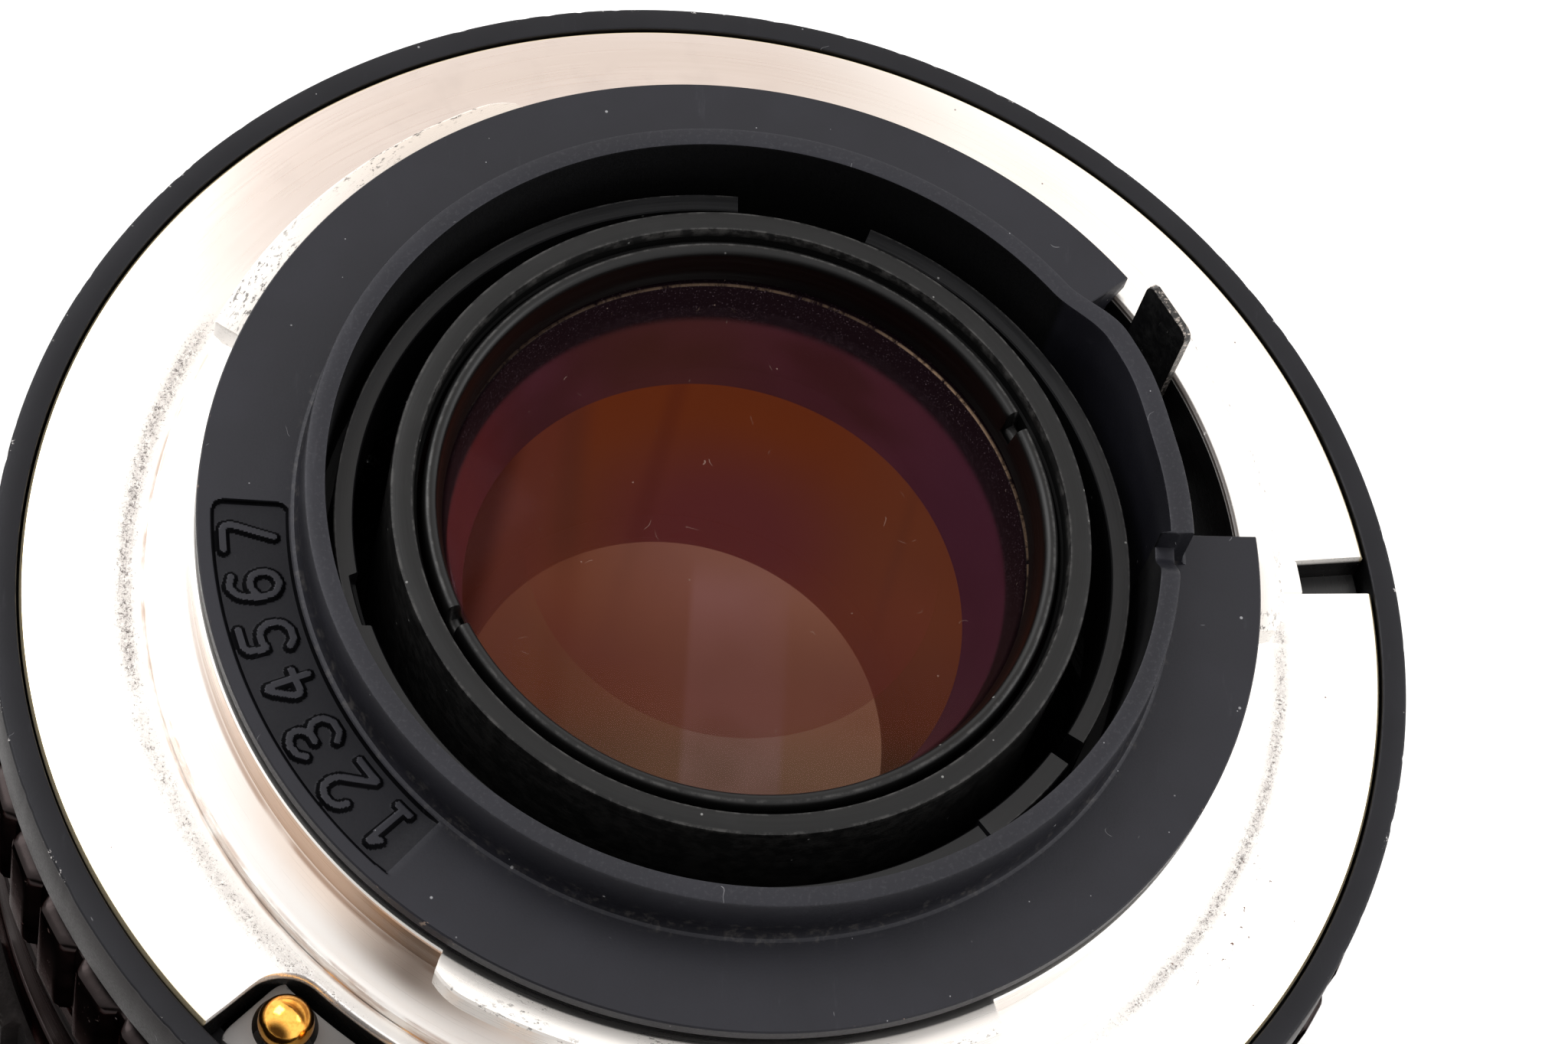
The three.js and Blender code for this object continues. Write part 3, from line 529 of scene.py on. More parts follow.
def mat_turned(name, base, rough, metal=0.0, ring=7.0, bump=0.012, spec=0.5, dust=0.25, lips=(), wall=None, tint=(1.0, 1.0, 1.0)):
    M = Mat(name)
    f = M.noise(1.0, 3, 0.65, M.polar(ring, 0.03, ring), seed=2)
    cl = M.noise(0.5, 3, 0.6, seed=7)
    c = M.mix(M.step(f, 0.35, 0.7), tuple(v * 0.75 for v in base), tuple(min(1, v * 1.25) for v in base))
    c = M.mix(M.mul(M.step(cl, 0.5, 0.75), 0.4), c, tuple(min(1, v * 1.6 + 0.002) for v in base))
    d = M.specks(0.9, 0.06, dust)
    c = M.mix(M.mul(d, 0.5), c, (0.30, 0.30, 0.29))
    for r0, w in lips:
        worn = M.mul(M.band(M.R(), r0 - w, r0 + w, 0.05), M.step(M.noise(1.6, 4, 0.75, seed=19), 0.42, 0.62), 0.6)
        c = M.mix(worn, c, (0.055, 0.053, 0.051))
    if wall is not None:
        c = M.mix(M.step(M.R(), wall, wall - 0.1), c, (0.0006, 0.0006, 0.0006))
    M.set(color=c, metal=metal, rough=M.lin(f, 0.3, 0.7, rough - 0.07, rough + 0.08), spec=spec, tint=tint)
    M.bump(M.math("ADD", f, M.mul(cl, 0.3)), bump, 0.6)
    return M.m


def mat_inner_black():
    M = Mat("inner_black")
    f = M.noise(1.0, 2, 0.6, M.polar(5.0, 0.02, 5.0))
    c = M.mix(f, (0.0012, 0.0012, 0.0012), (0.0035, 0.0035, 0.0035))
    M.set(color=c, rough=M.lin(f, 0.3, 0.7, 0.62, 0.8), spec=0.10)
    M.bump(f, 0.01, 0.5)
    return M.m


def mat_steel(name, base=(0.55, 0.55, 0.57), rough=0.28):
    M = Mat(name)
    f = M.noise(3.0, 4, 0.7); g = M.noise(1.0, 2, 0.6, M.stretch(6, 0.6, 0.6), seed=4)
    c = M.mix(M.step(f, 0.35, 0.7), base, tuple(v * 0.72 for v in base))
    M.set(color=c, metal=1.0, rough=M.lin(g, 0.3, 0.7, rough - 0.08, rough + 0.12))
    M.bump(M.math("ADD", M.mul(f, 0.5), M.mul(g, 0.5)), 0.008, 0.5)
    return M.m


def mat_lever():
    M = Mat("blackened_steel")
    f = M.noise(2.5, 4, 0.7, seed=3)
    scr = M.step(M.noise(1.0, 3, 0.7, M.stretch(2.2, 9.0, 1.2), seed=12), 0.66, 0.70)
    c = M.mix(M.step(f, 0.4, 0.75), (0.0035, 0.0035, 0.0038), (0.012, 0.012, 0.012))
    c = M.mix(M.mul(scr, 0.6), c, (0.16, 0.155, 0.15))
    c = M.mix(M.mul(M.specks(1.8, 0.06, 0.25), 0.7), c, (0.3, 0.3, 0.3))
    M.set(color=c, metal=0.25, rough=M.lin(f, 0.3, 0.7, 0.34, 0.5), spec=0.45)
    M.bump(f, 0.01, 0.5)
    return M.m


def mat_worn():
    M = Mat("worn_steel_edge")
    f = M.noise(4.5, 4, 0.75, seed=6)
    c = M.mix(M.step(f, 0.50, 0.62), (0.012, 0.011, 0.010), (0.34, 0.30, 0.27))
    M.set(color=c, metal=M.step(f, 0.50, 0.62, 0.2, 1.0), rough=M.lin(f, 0.3, 0.7, 0.25, 0.45))
    M.bump(f, 0.015, 0.6)
    return M.m


def mat_gold():
    M = Mat("gold_plate")
    f = M.noise(3.5, 4, 0.7)
    c = M.mix(M.step(f, 0.4, 0.75), (1.0, 0.50, 0.10), (0.80, 0.32, 0.045))
    c = M.mix(M.mul(M.specks(2.2, 0.09, 0.2), 0.7), c, (0.22, 0.10, 0.03))
    M.set(color=c, metal=1.0, rough=M.lin(f, 0.3, 0.7, 0.10, 0.2))
    M.bump(f, 0.01, 0.5)
    return M.m


def mat_gloss():
    M = Mat("gloss_black")
    f = M.noise(0.5, 3, 0.6); g = M.noise(8.0, 2, 0.5)
    c = M.mix(M.step(f, 0.2, 0.8), (0.0170, 0.0140, 0.0137), (0.0240, 0.0190, 0.0186))
    edge = M.mul(M.step(M.R(), 31.36, 31.46), M.step(M.noise(1.3, 5, 0.8, seed=2), 0.60, 0.66))
    c = M.mix(M.mul(edge, 0.7), c, (0.30, 0.28, 0.27))
    c = M.mix(M.mul(M.specks(0.7, 0.06, 0.12), 0.5), c, (0.3, 0.3, 0.3))
    # fully metallic with a warm dark tint, so its reflections are painted a dim warm brown instead of the bright floor
    M.set(color=c, metal=1.0, rough=M.lin(f, 0.3, 0.7, 0.20, 0.32), tint=(0.175, 0.138, 0.134))
    M.bump(M.math("ADD", M.mul(f, 1.0), M.mul(g, 0.2)), 0.02, 0.4)
    return M.m


def mat_rubber():
    M = Mat("grip_rubber")
    f = M.noise(6.0, 4, 0.7); cl = M.noise(0.35, 3, 0.6, seed=2)
    c = M.mix(M.step(cl, 0.35, 0.7), (0.0078, 0.0068, 0.0066), (0.0155, 0.0135, 0.0131))
    worn = M.mul(M.step(M.R(), 31.45, 31.7), M.step(f, 0.50, 0.65), 0.6)
    c = M.mix(worn, c, (0.045, 0.042, 0.040))
    c = M.mix(M.mul(M.specks(0.8, 0.06, 0.12), 0.5), c, (0.25, 0.25, 0.25))
    # partly metallic with a warm dark tint, so its reflections are painted dim and warm instead of the bright floor
    M.set(color=c, metal=0.6, rough=M.lin(f, 0.3, 0.7, 0.50, 0.72), spec=0.02, tint=(0.25, 0.216, 0.212))
    M.bump(f, 0.03, 0.6)
    return M.m


def mat_paint(name, base, rough=0.5):
    M = Mat(name)
    f = M.noise(5.0, 3, 0.6)
    M.set(color=M.mix(M.step(f, 0.35, 0.7), base, tuple(v * 0.8 for v in base)), rough=M.lin(f, 0.3, 0.7, rough - 0.08, rough + 0.08))
    M.bump(f, 0.01, 0.4)
    return M.m


def mat_dome():
    """Outer face of the rear glass: almost clear, coated, with a little dust."""
    M = Mat("coated_dome")
    dust = M.mx(M.specks(0.85, 0.045, 0.30), M.specks(1.9, 0.05, 0.10, M.stretch(1.03, 0.95, 1)))
    film = M.step(M.noise(0.25, 3, 0.6, seed=3), 0.35, 0.8)
    R = M.R()
    c = M.mix(M.mul(film, 0.5), (0.0010, 0.0004, 0.0008), (0.0040, 0.0015, 0.0022))
    fib = M.fibre(0.9, 0.70)
    dust = M.mx(dust, fib)
    c = M.mix(M.mul(dust, 0.6), c, (0.36, 0.27, 0.22))
    al = M.math("ADD", 0.12, M.mul(film, 0.04))
    al = M.math("ADD", al, M.mul(M.step(M.xyz()[1], -3.0, -8.0), 0.20))
    al = M.mx(al, M.mul(dust, 0.40))
    al = M.mx(al, M.step(R, 12.25, 12.5, 0.0, 0.75))
    M.set(color=c, rough=0.06, alpha=al, spec=0.10, tint=(1.0, 0.55, 0.70))
    return M.m


def mat_glass_wall():
    """Ground edge of the rear glass, seen through the coated face; its maroon, dark and bronze reflections are painted
    as emission, so it glows.
    """
    M = Mat("glass_edge")
    z, A = M.zf(), M.ang()
    n = M.noise(0.35, 2, 0.5, M.polar(1.0, 0.12, 1.0), seed=4)
    maroon = M.mix(M.step(n, 0.3, 0.7), (0.034, 0.0078, 0.0090), (0.052, 0.0120, 0.0185))
    # redder on the left, purple on the right, browner at the far side
    maroon = M.mix(M.band(A, 150.0, 185.0, 16.0), maroon, (0.060, 0.0075, 0.0075))
    maroon = M.mix(M.mul(M.mx(M.step(A, 60.0, 20.0), M.step(A, 300.0, 350.0)), 0.7), maroon, (0.036, 0.0080, 0.0170))
    maroon = M.mix(M.mul(M.band(A, 84.0, 120.0, 16.0), 0.6), maroon, (0.042, 0.0120, 0.0070))
    grain = M.noise(11.0, 2, 0.7, seed=2)
    dark = M.mix(M.step(grain, 0.60, 0.70), (0.0062, 0.0030, 0.0042), (0.075, 0.052, 0.062))
    c = M.mix(M.step(z, 3.05, 3.55), maroon, dark)
    bronze = M.mul(M.step(z, 5.185, 5.20), M.step(M.R(), 12.70, 12.76, 1.0, 0.0), M.step(M.noise(1.2, 4, 0.75, M.polar(1.0, 0.35, 1.0), seed=5), 0.36, 0.56), M.mx(M.step(A, 75.0, 40.0), M.mx(M.step(A, 300.0, 330.0), M.mul(M.band(A, 60.0, 150.0, 15.0), 0.3))))
    c = M.mix(M.mul(bronze, 0.8), c, (0.30, 0.20, 0.13))
    M.set(color=(0.0, 0.0, 0.0), emission=c, glow=1.0, rough=0.4, spec=0.05)
    return M.m


def mat_amber():
    """Inner coated face: the amber reflection with the darker violet middle, painted as emission so it glows."""
    M = Mat("painted_amber_reflection")
    x, y = M.xyz()[0], M.xyz()[1]
    far = M.step(y, -2.0, 10.5)
    c = M.mix(far, (0.140, 0.033, 0.015), (0.172, 0.032, 0.0080))
    mid = M.math("SQRT", M.math("ADD", M.math("POWER", M.math("SUBTRACT", x, 0.2), 2.0), M.math("POWER", M.math("MULTIPLY", M.math("SUBTRACT", y, 3.0), 1.1), 2.0)))
    c = M.mix(M.mul(M.step(mid, 2.0, 7.4, 1.0, 0.0), 0.85), c, (0.124, 0.021, 0.023))
    c = M.mix(M.mul(M.step(x, 4.5, 9.5), 0.8), c, (0.165, 0.040, 0.016))
    left = M.math("ADD", x, M.mul(y, -0.18))
    c = M.mix(M.mul(M.step(left, -6.5, -8.8), 0.55), c, (0.135, 0.030, 0.022))
    c = M.mix(M.mul(M.band(left, -12.0, -10.0, 0.6), 0.85), c, (0.050, 0.006, 0.0015))
    # soft darker streaks, reflections of the room
    ln = M.math("ADD", M.math("SUBTRACT", x, M.mul(y, 0.235)), 4.35)
    s1 = M.mul(M.band(ln, -0.22, 0.55, 0.3), M.step(y, -5.0, 1.0))
    c = M.mix(M.mul(s1, 0.30), c, (0.090, 0.012, 0.008))
    s2 = M.mul(M.band(M.math("ADD", M.math("SUBTRACT", x, M.mul(y, 0.05)), 6.75), -0.5, 0.6, 0.5), M.step(y, -1.0, 3.0))
    c = M.mix(M.mul(s2, 0.28), c, (0.060, 0.018, 0.012))
    s3 = M.mul(M.band(M.math("SUBTRACT", M.math("SUBTRACT", x, M.mul(y, 0.27)), 7.3), -0.2, 0.2, 0.3), M.step(y, -3.0, 0.5))
    c = M.mix(M.mul(s3, 0.25), c, (0.080, 0.020, 0.012))
    # darker lower edge on the right, an olive-brown reflection painted towards the front
    c = M.mix(M.mul(M.step(y, -4.6, -8.2), 0.9), c, (0.074, 0.032, 0.015))
    M.set(color=(0.0, 0.0, 0.0), emission=c, glow=1.0, alpha=0.60, rough=0.25, spec=0.04)
    return M.m


def mat_veil():
    """Glowing sheet inside the glass that paints the reflected image of an inner edge, which warms the middle."""
    M = Mat("painted_red_reflection")
    x, y = M.xyz()[0], M.xyz()[1]
    a = M.mul(M.step(y, 1.0, -6.5), 0.26)
    M.set(color=(0.0, 0.0, 0.0), emission=(0.125, 0.024, 0.016), glow=1.0, alpha=a, rough=0.3, spec=0.0)
    return M.m


def mat_pink():
    """Deep coated face: pale pink reflection with a lighter upright band and an olive foot, painted as emission so it
    glows.
    """
    M = Mat("painted_pink_reflection")
    x, y = M.xyz()[0], M.xyz()[1]
    c = M.mix(M.step(x, -9.0, 6.0), (0.095, 0.040, 0.018), (0.300, 0.168, 0.108))
    bandm = M.mul(M.band(M.math("SUBTRACT", x, M.mul(y, 0.05)), 0.55, 5.2, 0.22), M.step(y, 9.6, 6.8))
    edge = M.step(M.math("SUBTRACT", x, M.mul(y, -0.25)), 9.0, 4.6)
    c = M.mix(M.mul(bandm, edge, 0.65), c, (0.375, 0.225, 0.205))
    c = M.mix(M.mul(M.step(y, -1.5, -8.0), 0.92), c, (0.046, 0.020, 0.009))
    dk = M.band(M.math("SUBTRACT", x, M.mul(y, 0.10)), -6.4, -5.2, 0.5)
    c = M.mix(M.mul(dk, 0.5), c, (0.080, 0.030, 0.014))
    c = M.mix(M.mul(M.step(M.noise(0.22, 2, 0.5, seed=9), 0.5, 0.75), 0.35), c, (0.110, 0.070, 0.036))
    M.set(color=(0.0, 0.0, 0.0), emission=c, glow=1.0, rough=0.2, spec=0.1)
    return M.m


def mat_front_glass():
    M = Mat("front_glass")
    R = M.R(); n = M.noise(0.12, 2, 0.5, seed=3)
    x, y = M.xyz()[0], M.xyz()[1]
    c = M.mix(M.step(n, 0.35, 0.65), (0.006, 0.003, 0.010), (0.022, 0.008, 0.016))
    # amber and violet patches painted on the glass as coating reflections
    d = M.math("SQRT", M.math("ADD", M.math("POWER", M.math("SUBTRACT", x, 3.0), 2.0), M.math("POWER", M.math("ADD", y, 2.0), 2.0)))
    c = M.mix(M.mul(M.step(d, 7.4, 7.0), 0.7), c, (0.055, 0.022, 0.008))
    d2 = M.math("SQRT", M.math("ADD", M.math("POWER", M.math("ADD", x, 2.0), 2.0), M.math("POWER", M.math("SUBTRACT", y, 2.5), 2.0)))
    c = M.mix(M.mul(M.step(d2, 4.6, 4.3), 0.6), c, (0.020, 0.014, 0.050))
    dust = M.specks(0.8, 0.045, 0.2)
    c = M.mix(M.mul(dust, 0.5), c, (0.4, 0.4, 0.4))
    al = M.mx(0.45, M.step(R, 13.0, 14.0, 0.0, 0.9))
    M.set(color=c, rough=0.05, alpha=al, spec=0.35, tint=(0.75, 0.6, 1.0))
    return M.m


def mat_floor():
    M = Mat("pale_floor")
    n = M.noise(0.02, 3, 0.5)
    M.set(color=M.mix(n, (0.93, 0.925, 0.92), (0.90, 0.895, 0.89)), rough=0.7, spec=0.2)
    M.bump(M.noise(0.8, 2), 0.02, 0.1)
    return M.m


NICKEL = mat_nickel()
GUARD = mat_plastic("guard_plastic", (0.0034, 0.0034, 0.0054), 0.50, dust=0.6, wear_and_painted_light=guard_rub, spec=0.32)
PANEL = mat_plastic("guard_panel", (0.0024, 0.0024, 0.0034), 0.55, dust=0.2, spec=0.20, fibres=False)
# near-black edge material for the digits and panel border: painted shade outlines
PANEL_EDGE = mat_plastic("guard_panel_edge", (0.0008, 0.0008, 0.0011), 0.6, dust=0.05, spec=0.03, fibres=False)
RIM = mat_plastic("rim_black", (0.0026, 0.0026, 0.0034), 0.46, dust=0.45, wear_and_painted_light=rim_rub, spec=0.22)
# reddish-brown base with low specular: the rim's side faces painted with a dim warm reflection
RIMSIDE = mat_plastic("rim_side", (0.0066, 0.0051, 0.0049), 0.38, dust=0.3, tint=(0.0145, 0.0104, 0.0099), spec=0.05)
CELL = mat_turned("cell_black", (0.0040, 0.0039, 0.0039), 0.50, spec=0.22, bump=0.02, dust=0.7, lips=((13.95, 0.07), (14.82, 0.06)))
INNER = mat_inner_black()
LEVER = mat_lever()
WORN = mat_worn()
GOLD = mat_gold()
GLOSS = mat_gloss()
RUBBER = mat_rubber()
INSUL = mat_plastic("insulator", (0.115, 0.110, 0.105), 0.5, dust=0.2, tint=(0.2, 0.19, 0.18))
ALU = mat_turned("turned_aluminium", (0.62, 0.62, 0.63), 0.30, metal=1.0, ring=6.0)
# warm dark metallic finish, which paints dim warm reflections instead of the bright floor's
BLACK_ALU = mat_turned("black_anodised", (0.0170, 0.0150, 0.0148), 0.30, metal=1.0, ring=6.0, dust=0.4, tint=(0.215, 0.186, 0.183))
STEEL = mat_steel("bright_steel")
BLADE = mat_steel("blued_steel", (0.13, 0.13, 0.15), 0.4)
BRASS = mat_turned("turned_brass", (0.62, 0.44, 0.19), 0.33, metal=1.0, ring=5.0)
NAMEP = mat_plastic("front_black", (0.0035, 0.0035, 0.0036), 0.55, dust=0.10)
WHITE = mat_paint("white_paint", (0.72, 0.72, 0.70))
ORANGE = mat_paint("orange_paint", (0.75, 0.16, 0.03))
DOME, GWALL, AMBER, PINK, VEIL, FGLASS = mat_dome(), mat_glass_wall(), mat_amber(), mat_pink(), mat_veil(), mat_front_glass()

# ------------------------------------------------------------------ carried-over CAD nodes
by_slot = {"nickel": NICKEL, "guard_plastic": GUARD, "rim_black": RIM, "barrel_black": INNER, "gloss_black": GLOSS, "grip_rubber": RUBBER,
           "aluminium": ALU, "steel": STEEL, "blade_steel": BLADE, "gold": GOLD, "brass": BRASS, "insulator": INSUL, "coated_glass": FGLASS}
for sp in frame["record"]["subparts"]:
    o = frame["nodes"].get(sp["node"])
    if o is None:
        continue
    mt = by_slot[sp["material_slot"]]
    if not o.material_slots:
        o.data.materials.append(mt)
    for s in o.material_slots:
        s.material = mt

# ------------------------------------------------------------------ nickel bayonet plate
LUGS = [(-5.0, 39.0), (114.5, 159.0), (239.5, 298.0)]


def plate_at(a):
    lug = max(win(a, a0, a1, 0.28) for a0, a1 in LUGS)
    # tapered nose at the leading edge of each lug
    nose = 0.0
    for a0, a1 in LUGS:
        d = (a - a0 + 180) % 360 - 180
        if 0 <= d < 4: nose = max(nose, (1 - d / 4) ** 2 * 0.45)
    slot = win(a, 7.4 - 1.69, 7.4 + 1.69, 0.10)
    # contact pocket with round inner corners
    r_o, pocket = 29.78, 0.0
    d = min(a - 226.0, 253.0 - a)
    if d >= -0.2:
        s = max(0.0, d) * rad(1) * 26.0
        rc = 1.9
        r_in = 25.4 + (rc - math.sqrt(max(0, rc * rc - (rc - s) ** 2)) if s < rc else 0)
        t = smooth(d, -0.2, 0.02)
        r_o = 29.78 * (1 - t) + r_in * t
        pocket = t
    zs = -1.5 * slot
    rc_ = 26.6
    lo = (22.87, 3.28)
    ro = 24.1 - nose
    no_lug = [(22.87, 3.05), (22.87, 3.25), (22.87, 3.6), (22.87, 4.60), (22.83, 4.70), (22.75, 4.75)]
    with_l = [(22.87, 3.05), (22.95, 3.25), (ro - 0.38, 3.25), (ro, 3.62), (ro, 4.66), (ro - 0.10, 4.75)]
    lp = lerp(no_lug, with_l, lug)
    top = [(24.62, 0.0), (24.58, 0.05), (24.55, 0.70), (24.30, 0.82), (24.15, 0.98), (23.50, 2.02)] + lp + \
          [(22.35, 4.75), (22.24, 4.70), (22.20, 4.60), (22.20, -0.55), (18.65, -0.60), (18.60, -0.65), (18.60, -2.1)]
    if pocket > 0:
        outer = [(r_o - 0.02, -2.1), (r_o, -2.05), (r_o, -0.14), (r_o - 0.10, -0.03), (r_o - 0.16, 0.0), (r_o - 0.20, 0.0), (r_o - 0.24, 0.0)]
        full = [(29.57, -2.1), (29.78, -2.05), (29.78, -0.18), (29.67, -0.03), (29.58, 0.0), (28.0, 0.0), (26.0, 0.0)]
        outer = lerp(full, outer, pocket)
    else:
        full = [(29.57, -2.1), (29.78, -2.05), (29.78, -0.18), (29.67, -0.03), (29.58, 0.0), (26.60, 0.0), (26.52, 0.0)]
        cut = [(29.57, -2.1), (29.78, -2.05), (29.78, -1.62), (29.67, -1.5), (29.58, -1.5), (26.60, -1.5), (26.58, -0.02)]
        outer = lerp(full, cut, slot)
    return [(r, F(z)) for r, z in outer + top]


cuts = [(a % 360, 0.30) for l in LUGS for a in l] + [(5.71, 0.12), (9.09, 0.12), (226.0, 0.25), (253.0, 0.25)]
an = angles(0.75, *cuts)
an = sorted(set(an) | {226 + k * 0.2 for k in range(24)} | {253 - k * 0.2 for k in range(24)})
V, Fc = revolve([(a, plate_at(a)) for a in an])
make("bayonet_plate", V, Fc, "lens_body", NICKEL, replaces=["mount_plate"], smooth_deg=28)

# ------------------------------------------------------------------ guard with raised wall, window and number panel
STROKES = {
    "1": [[(0.30, 0.78), (0.52, 1.0), (0.52, 0.0)], [(0.28, 0.0), (0.76, 0.0)]],
    "2": [[(0.08, 0.76), (0.16, 0.92), (0.36, 1.0), (0.64, 1.0), (0.86, 0.90), (0.92, 0.72), (0.84, 0.52), (0.10, 0.04), (0.10, 0.0), (0.94, 0.0)]],
    "3": [[(0.08, 0.84), (0.26, 0.98), (0.60, 1.0), (0.86, 0.88), (0.86, 0.66), (0.62, 0.53), (0.36, 0.53)], [(0.62, 0.53), (0.90, 0.40), (0.92, 0.16), (0.66, 0.0), (0.28, 0.0), (0.06, 0.14)]],
    "4": [[(0.70, 0.0), (0.70, 1.0), (0.06, 0.28), (0.98, 0.28)]],
    "5": [[(0.88, 1.0), (0.20, 1.0), (0.14, 0.56), (0.42, 0.64), (0.74, 0.60), (0.94, 0.38), (0.86, 0.12), (0.58, 0.0), (0.26, 0.0), (0.06, 0.12)]],
    "6": [[(0.82, 0.92), (0.52, 1.0), (0.22, 0.84), (0.08, 0.46), (0.16, 0.12), (0.46, 0.0), (0.78, 0.06), (0.94, 0.28), (0.82, 0.52), (0.48, 0.60), (0.16, 0.46)]],
    "7": [[(0.08, 1.0), (0.94, 1.0), (0.44, 0.0)]],
    "8": [[(0.5, 0.53), (0.16, 0.66), (0.14, 0.88), (0.5, 1.0), (0.86, 0.88), (0.84, 0.66), (0.5, 0.53), (0.10, 0.38), (0.08, 0.12), (0.5, 0.0), (0.92, 0.12), (0.90, 0.38), (0.5, 0.53)]],
    "9": [[(0.18, 0.08), (0.48, 0.0), (0.78, 0.16), (0.92, 0.54), (0.84, 0.88), (0.54, 1.0), (0.22, 0.94), (0.06, 0.72), (0.18, 0.48), (0.52, 0.40), (0.84, 0.54)]],
    "0": [[(0.5, 1.0), (0.16, 0.86), (0.08, 0.5), (0.16, 0.14), (0.5, 0.0), (0.84, 0.14), (0.92, 0.5), (0.84, 0.86), (0.5, 1.0)]],
    ".": [[(0.42, 0.03), (0.58, 0.03)]],
}


def subdivide_smooth(pl):
    """Rounds a stroke's bends a little."""
    pts = [np.array(p, float) for p in pl]
    for _ in range(2):
        out = [pts[0]]
        for a, b in zip(pts, pts[1:]):
            out += [a * 0.82 + b * 0.18, a * 0.18 + b * 0.82]
        out.append(pts[-1]); pts = out
    return pts


DIGITS = "1234567"
D_ANG = [186.0, 192.5, 199.25, 206.0, 212.75, 219.75, 226.25]
PAN = (181.5, 232.0, 18.92, 22.1)
segs = []
for ch, ac in zip(DIGITS, D_ANG[::-1]):
    for pl in STROKES[ch]:
        q = subdivide_smooth(pl)
        # tops point outward, and the row reads clockwise
        q = [(ac * rad(1) * 20.6 + (0.5 - p[0]) * 1.45, 19.55 + p[1] * 2.1) for p in q]
        segs += list(zip(q, q[1:]))
SA = np.array([s[0] for s in segs]); SB = np.array([s[1] for s in segs])


def stroke_height(a, r):
    """Height of the raised digits at angles a, radii r (arrays)."""
    s = np.radians(a) * 20.6
    P = np.stack([s.ravel(), r.ravel()], 1)[:, None, :]
    d = SB - SA
    t = np.clip(((P - SA) * d).sum(2) / (d * d).sum(1), 0, 1)
    q = SA + t[..., None] * d
    dist = np.sqrt(((P - q) ** 2).sum(2)).min(1).reshape(a.shape)
    return np.clip((0.285 - dist) / 0.13, 0, 1)


def panel_depth(a, r):
    """0 outside the panel, 1 on its floor, with rounded corners."""
    s = np.radians(a - (PAN[0] + PAN[1]) / 2) * 20.5
    hs = math.radians(PAN[1] - PAN[0]) / 2 * 20.5; hr = (PAN[3] - PAN[2]) / 2
    rc = 0.5
    qx = np.abs(s) - (hs - rc); qy = np.abs(r - (PAN[2] + PAN[3]) / 2) - (hr - rc)
    sd = np.sqrt(np.maximum(qx, 0) ** 2 + np.maximum(qy, 0) ** 2) + np.minimum(np.maximum(qx, qy), 0) - rc
    out = np.clip((231.2 - a) / 3.6, 0, 1)
    return np.clip(-sd / 0.09, 0, 1) * out * out * (3 - 2 * out)


NP = 60
PR = np.linspace(22.2, 18.86, NP)


def guard_at(a):
    w = win(a, 5.0, 39.5, 0.22)                    # window
    # the wall bulges outward over the window
    dd = (a + 20) % 360 - 20
    if dd < 0.3: b = 0.0
    elif dd < 0.6: b = smooth(dd, 0.3, 0.6)
    elif dd < 31: b = 1.0
    elif dd < 41: b = 1 - smooth(dd, 31, 41)
    else: b = 0.0
    dn = (a + 180) % 360 - 180
    dent = smooth(0.35 - dn, 0, 0.3) * (1 - smooth(-dn, 1.6, 6.0)) if dn < 0.4 else 0.0
    far = smooth(dd, 14, 27) if dd < 60 else 0
    ri = 17.62 + b * (0.42 + 0.28 * far)
    ro = 18.50 + b * (0.60 + 0.25 * far)
    top_i = 8.8 - 1.15 * dent
    wi = [(ri, 1.3), (ro, 1.32)]
    under = [(ro + 0.02, 5.3), (21.15, 5.3), (21.15, 1.0), (21.9, 1.0), (21.9, 5.3), (22.66, 5.3), (22.72, 5.36), (22.72, 5.92), (22.66, 6.0), (22.4, 6.0)]
    flat = [(r, 6.0) for r in PR]
    foot = [(ro + 0.34, 6.0), (ro + 0.20, 6.06), (ro + 0.08, 6.25), (ro + 0.02, 6.7)]
    wt = [(ro, top_i - 0.12), (ro - 0.04, top_i - 0.03), (ro - 0.13, top_i), (ro - 0.40, top_i), (ro - 0.46, top_i), (ri + 0.10, top_i), (ri + 0.03, top_i - 0.03), (ri, top_i - 0.12)]
    if w > 0:
        g = 0.0008
        cu = [(ro, 1.6 + 0.36 * k) for k in range(len(under))]
        n0 = len(under) + NP + len(foot)
        zz = [1.6 + (6.5 - 1.6) * k / (n0 - 1) for k in range(n0)]
        cut = [(ro, z) for z in zz]
        mid = lerp(under + flat + foot, cut, w)
    else:
        mid = under + flat + foot
    return wi + mid + wt


an = angles(0.75, (5.0, 0.3), (39.5, 0.3), (0.5, 0.3), (358.0, 0.3))
an = sorted({a for a in an if not (180.8 < a < 232.7)} | {round(x, 4) for x in np.arange(180.9, 232.65, 0.16)} | {357.4, 357.6, 357.8, 359.7, 359.9, 0.0, 0.1, 0.3, 0.4})
sl = [(a, guard_at(a)) for a in an]
# press the number panel into the flat
off = 2 + 10
pa = np.array([a for a in an]); idx = np.where((pa > 180.8) & (pa < 232.7))[0]
AA, RR = np.meshgrid(pa[idx], PR, indexing="ij")
dep = panel_depth(AA, RR); dig = stroke_height(AA, RR) * np.clip(dep / 0.5, 0, 1)
H = 6.0 - 0.19 * dep + 0.16 * dig
for k, i in enumerate(idx):
    a, prof = sl[i]
    prof = list(prof)
    for j in range(NP):
        prof[off + j] = (prof[off + j][0], float(H[k, j]))
    sl[i] = (a, prof)
V, Fc = revolve([(a, [(r, F(z)) for r, z in prof]) for a, prof in sl])
m_prof = len(sl[0][1])
mi = [0] * (len(sl) * m_prof)
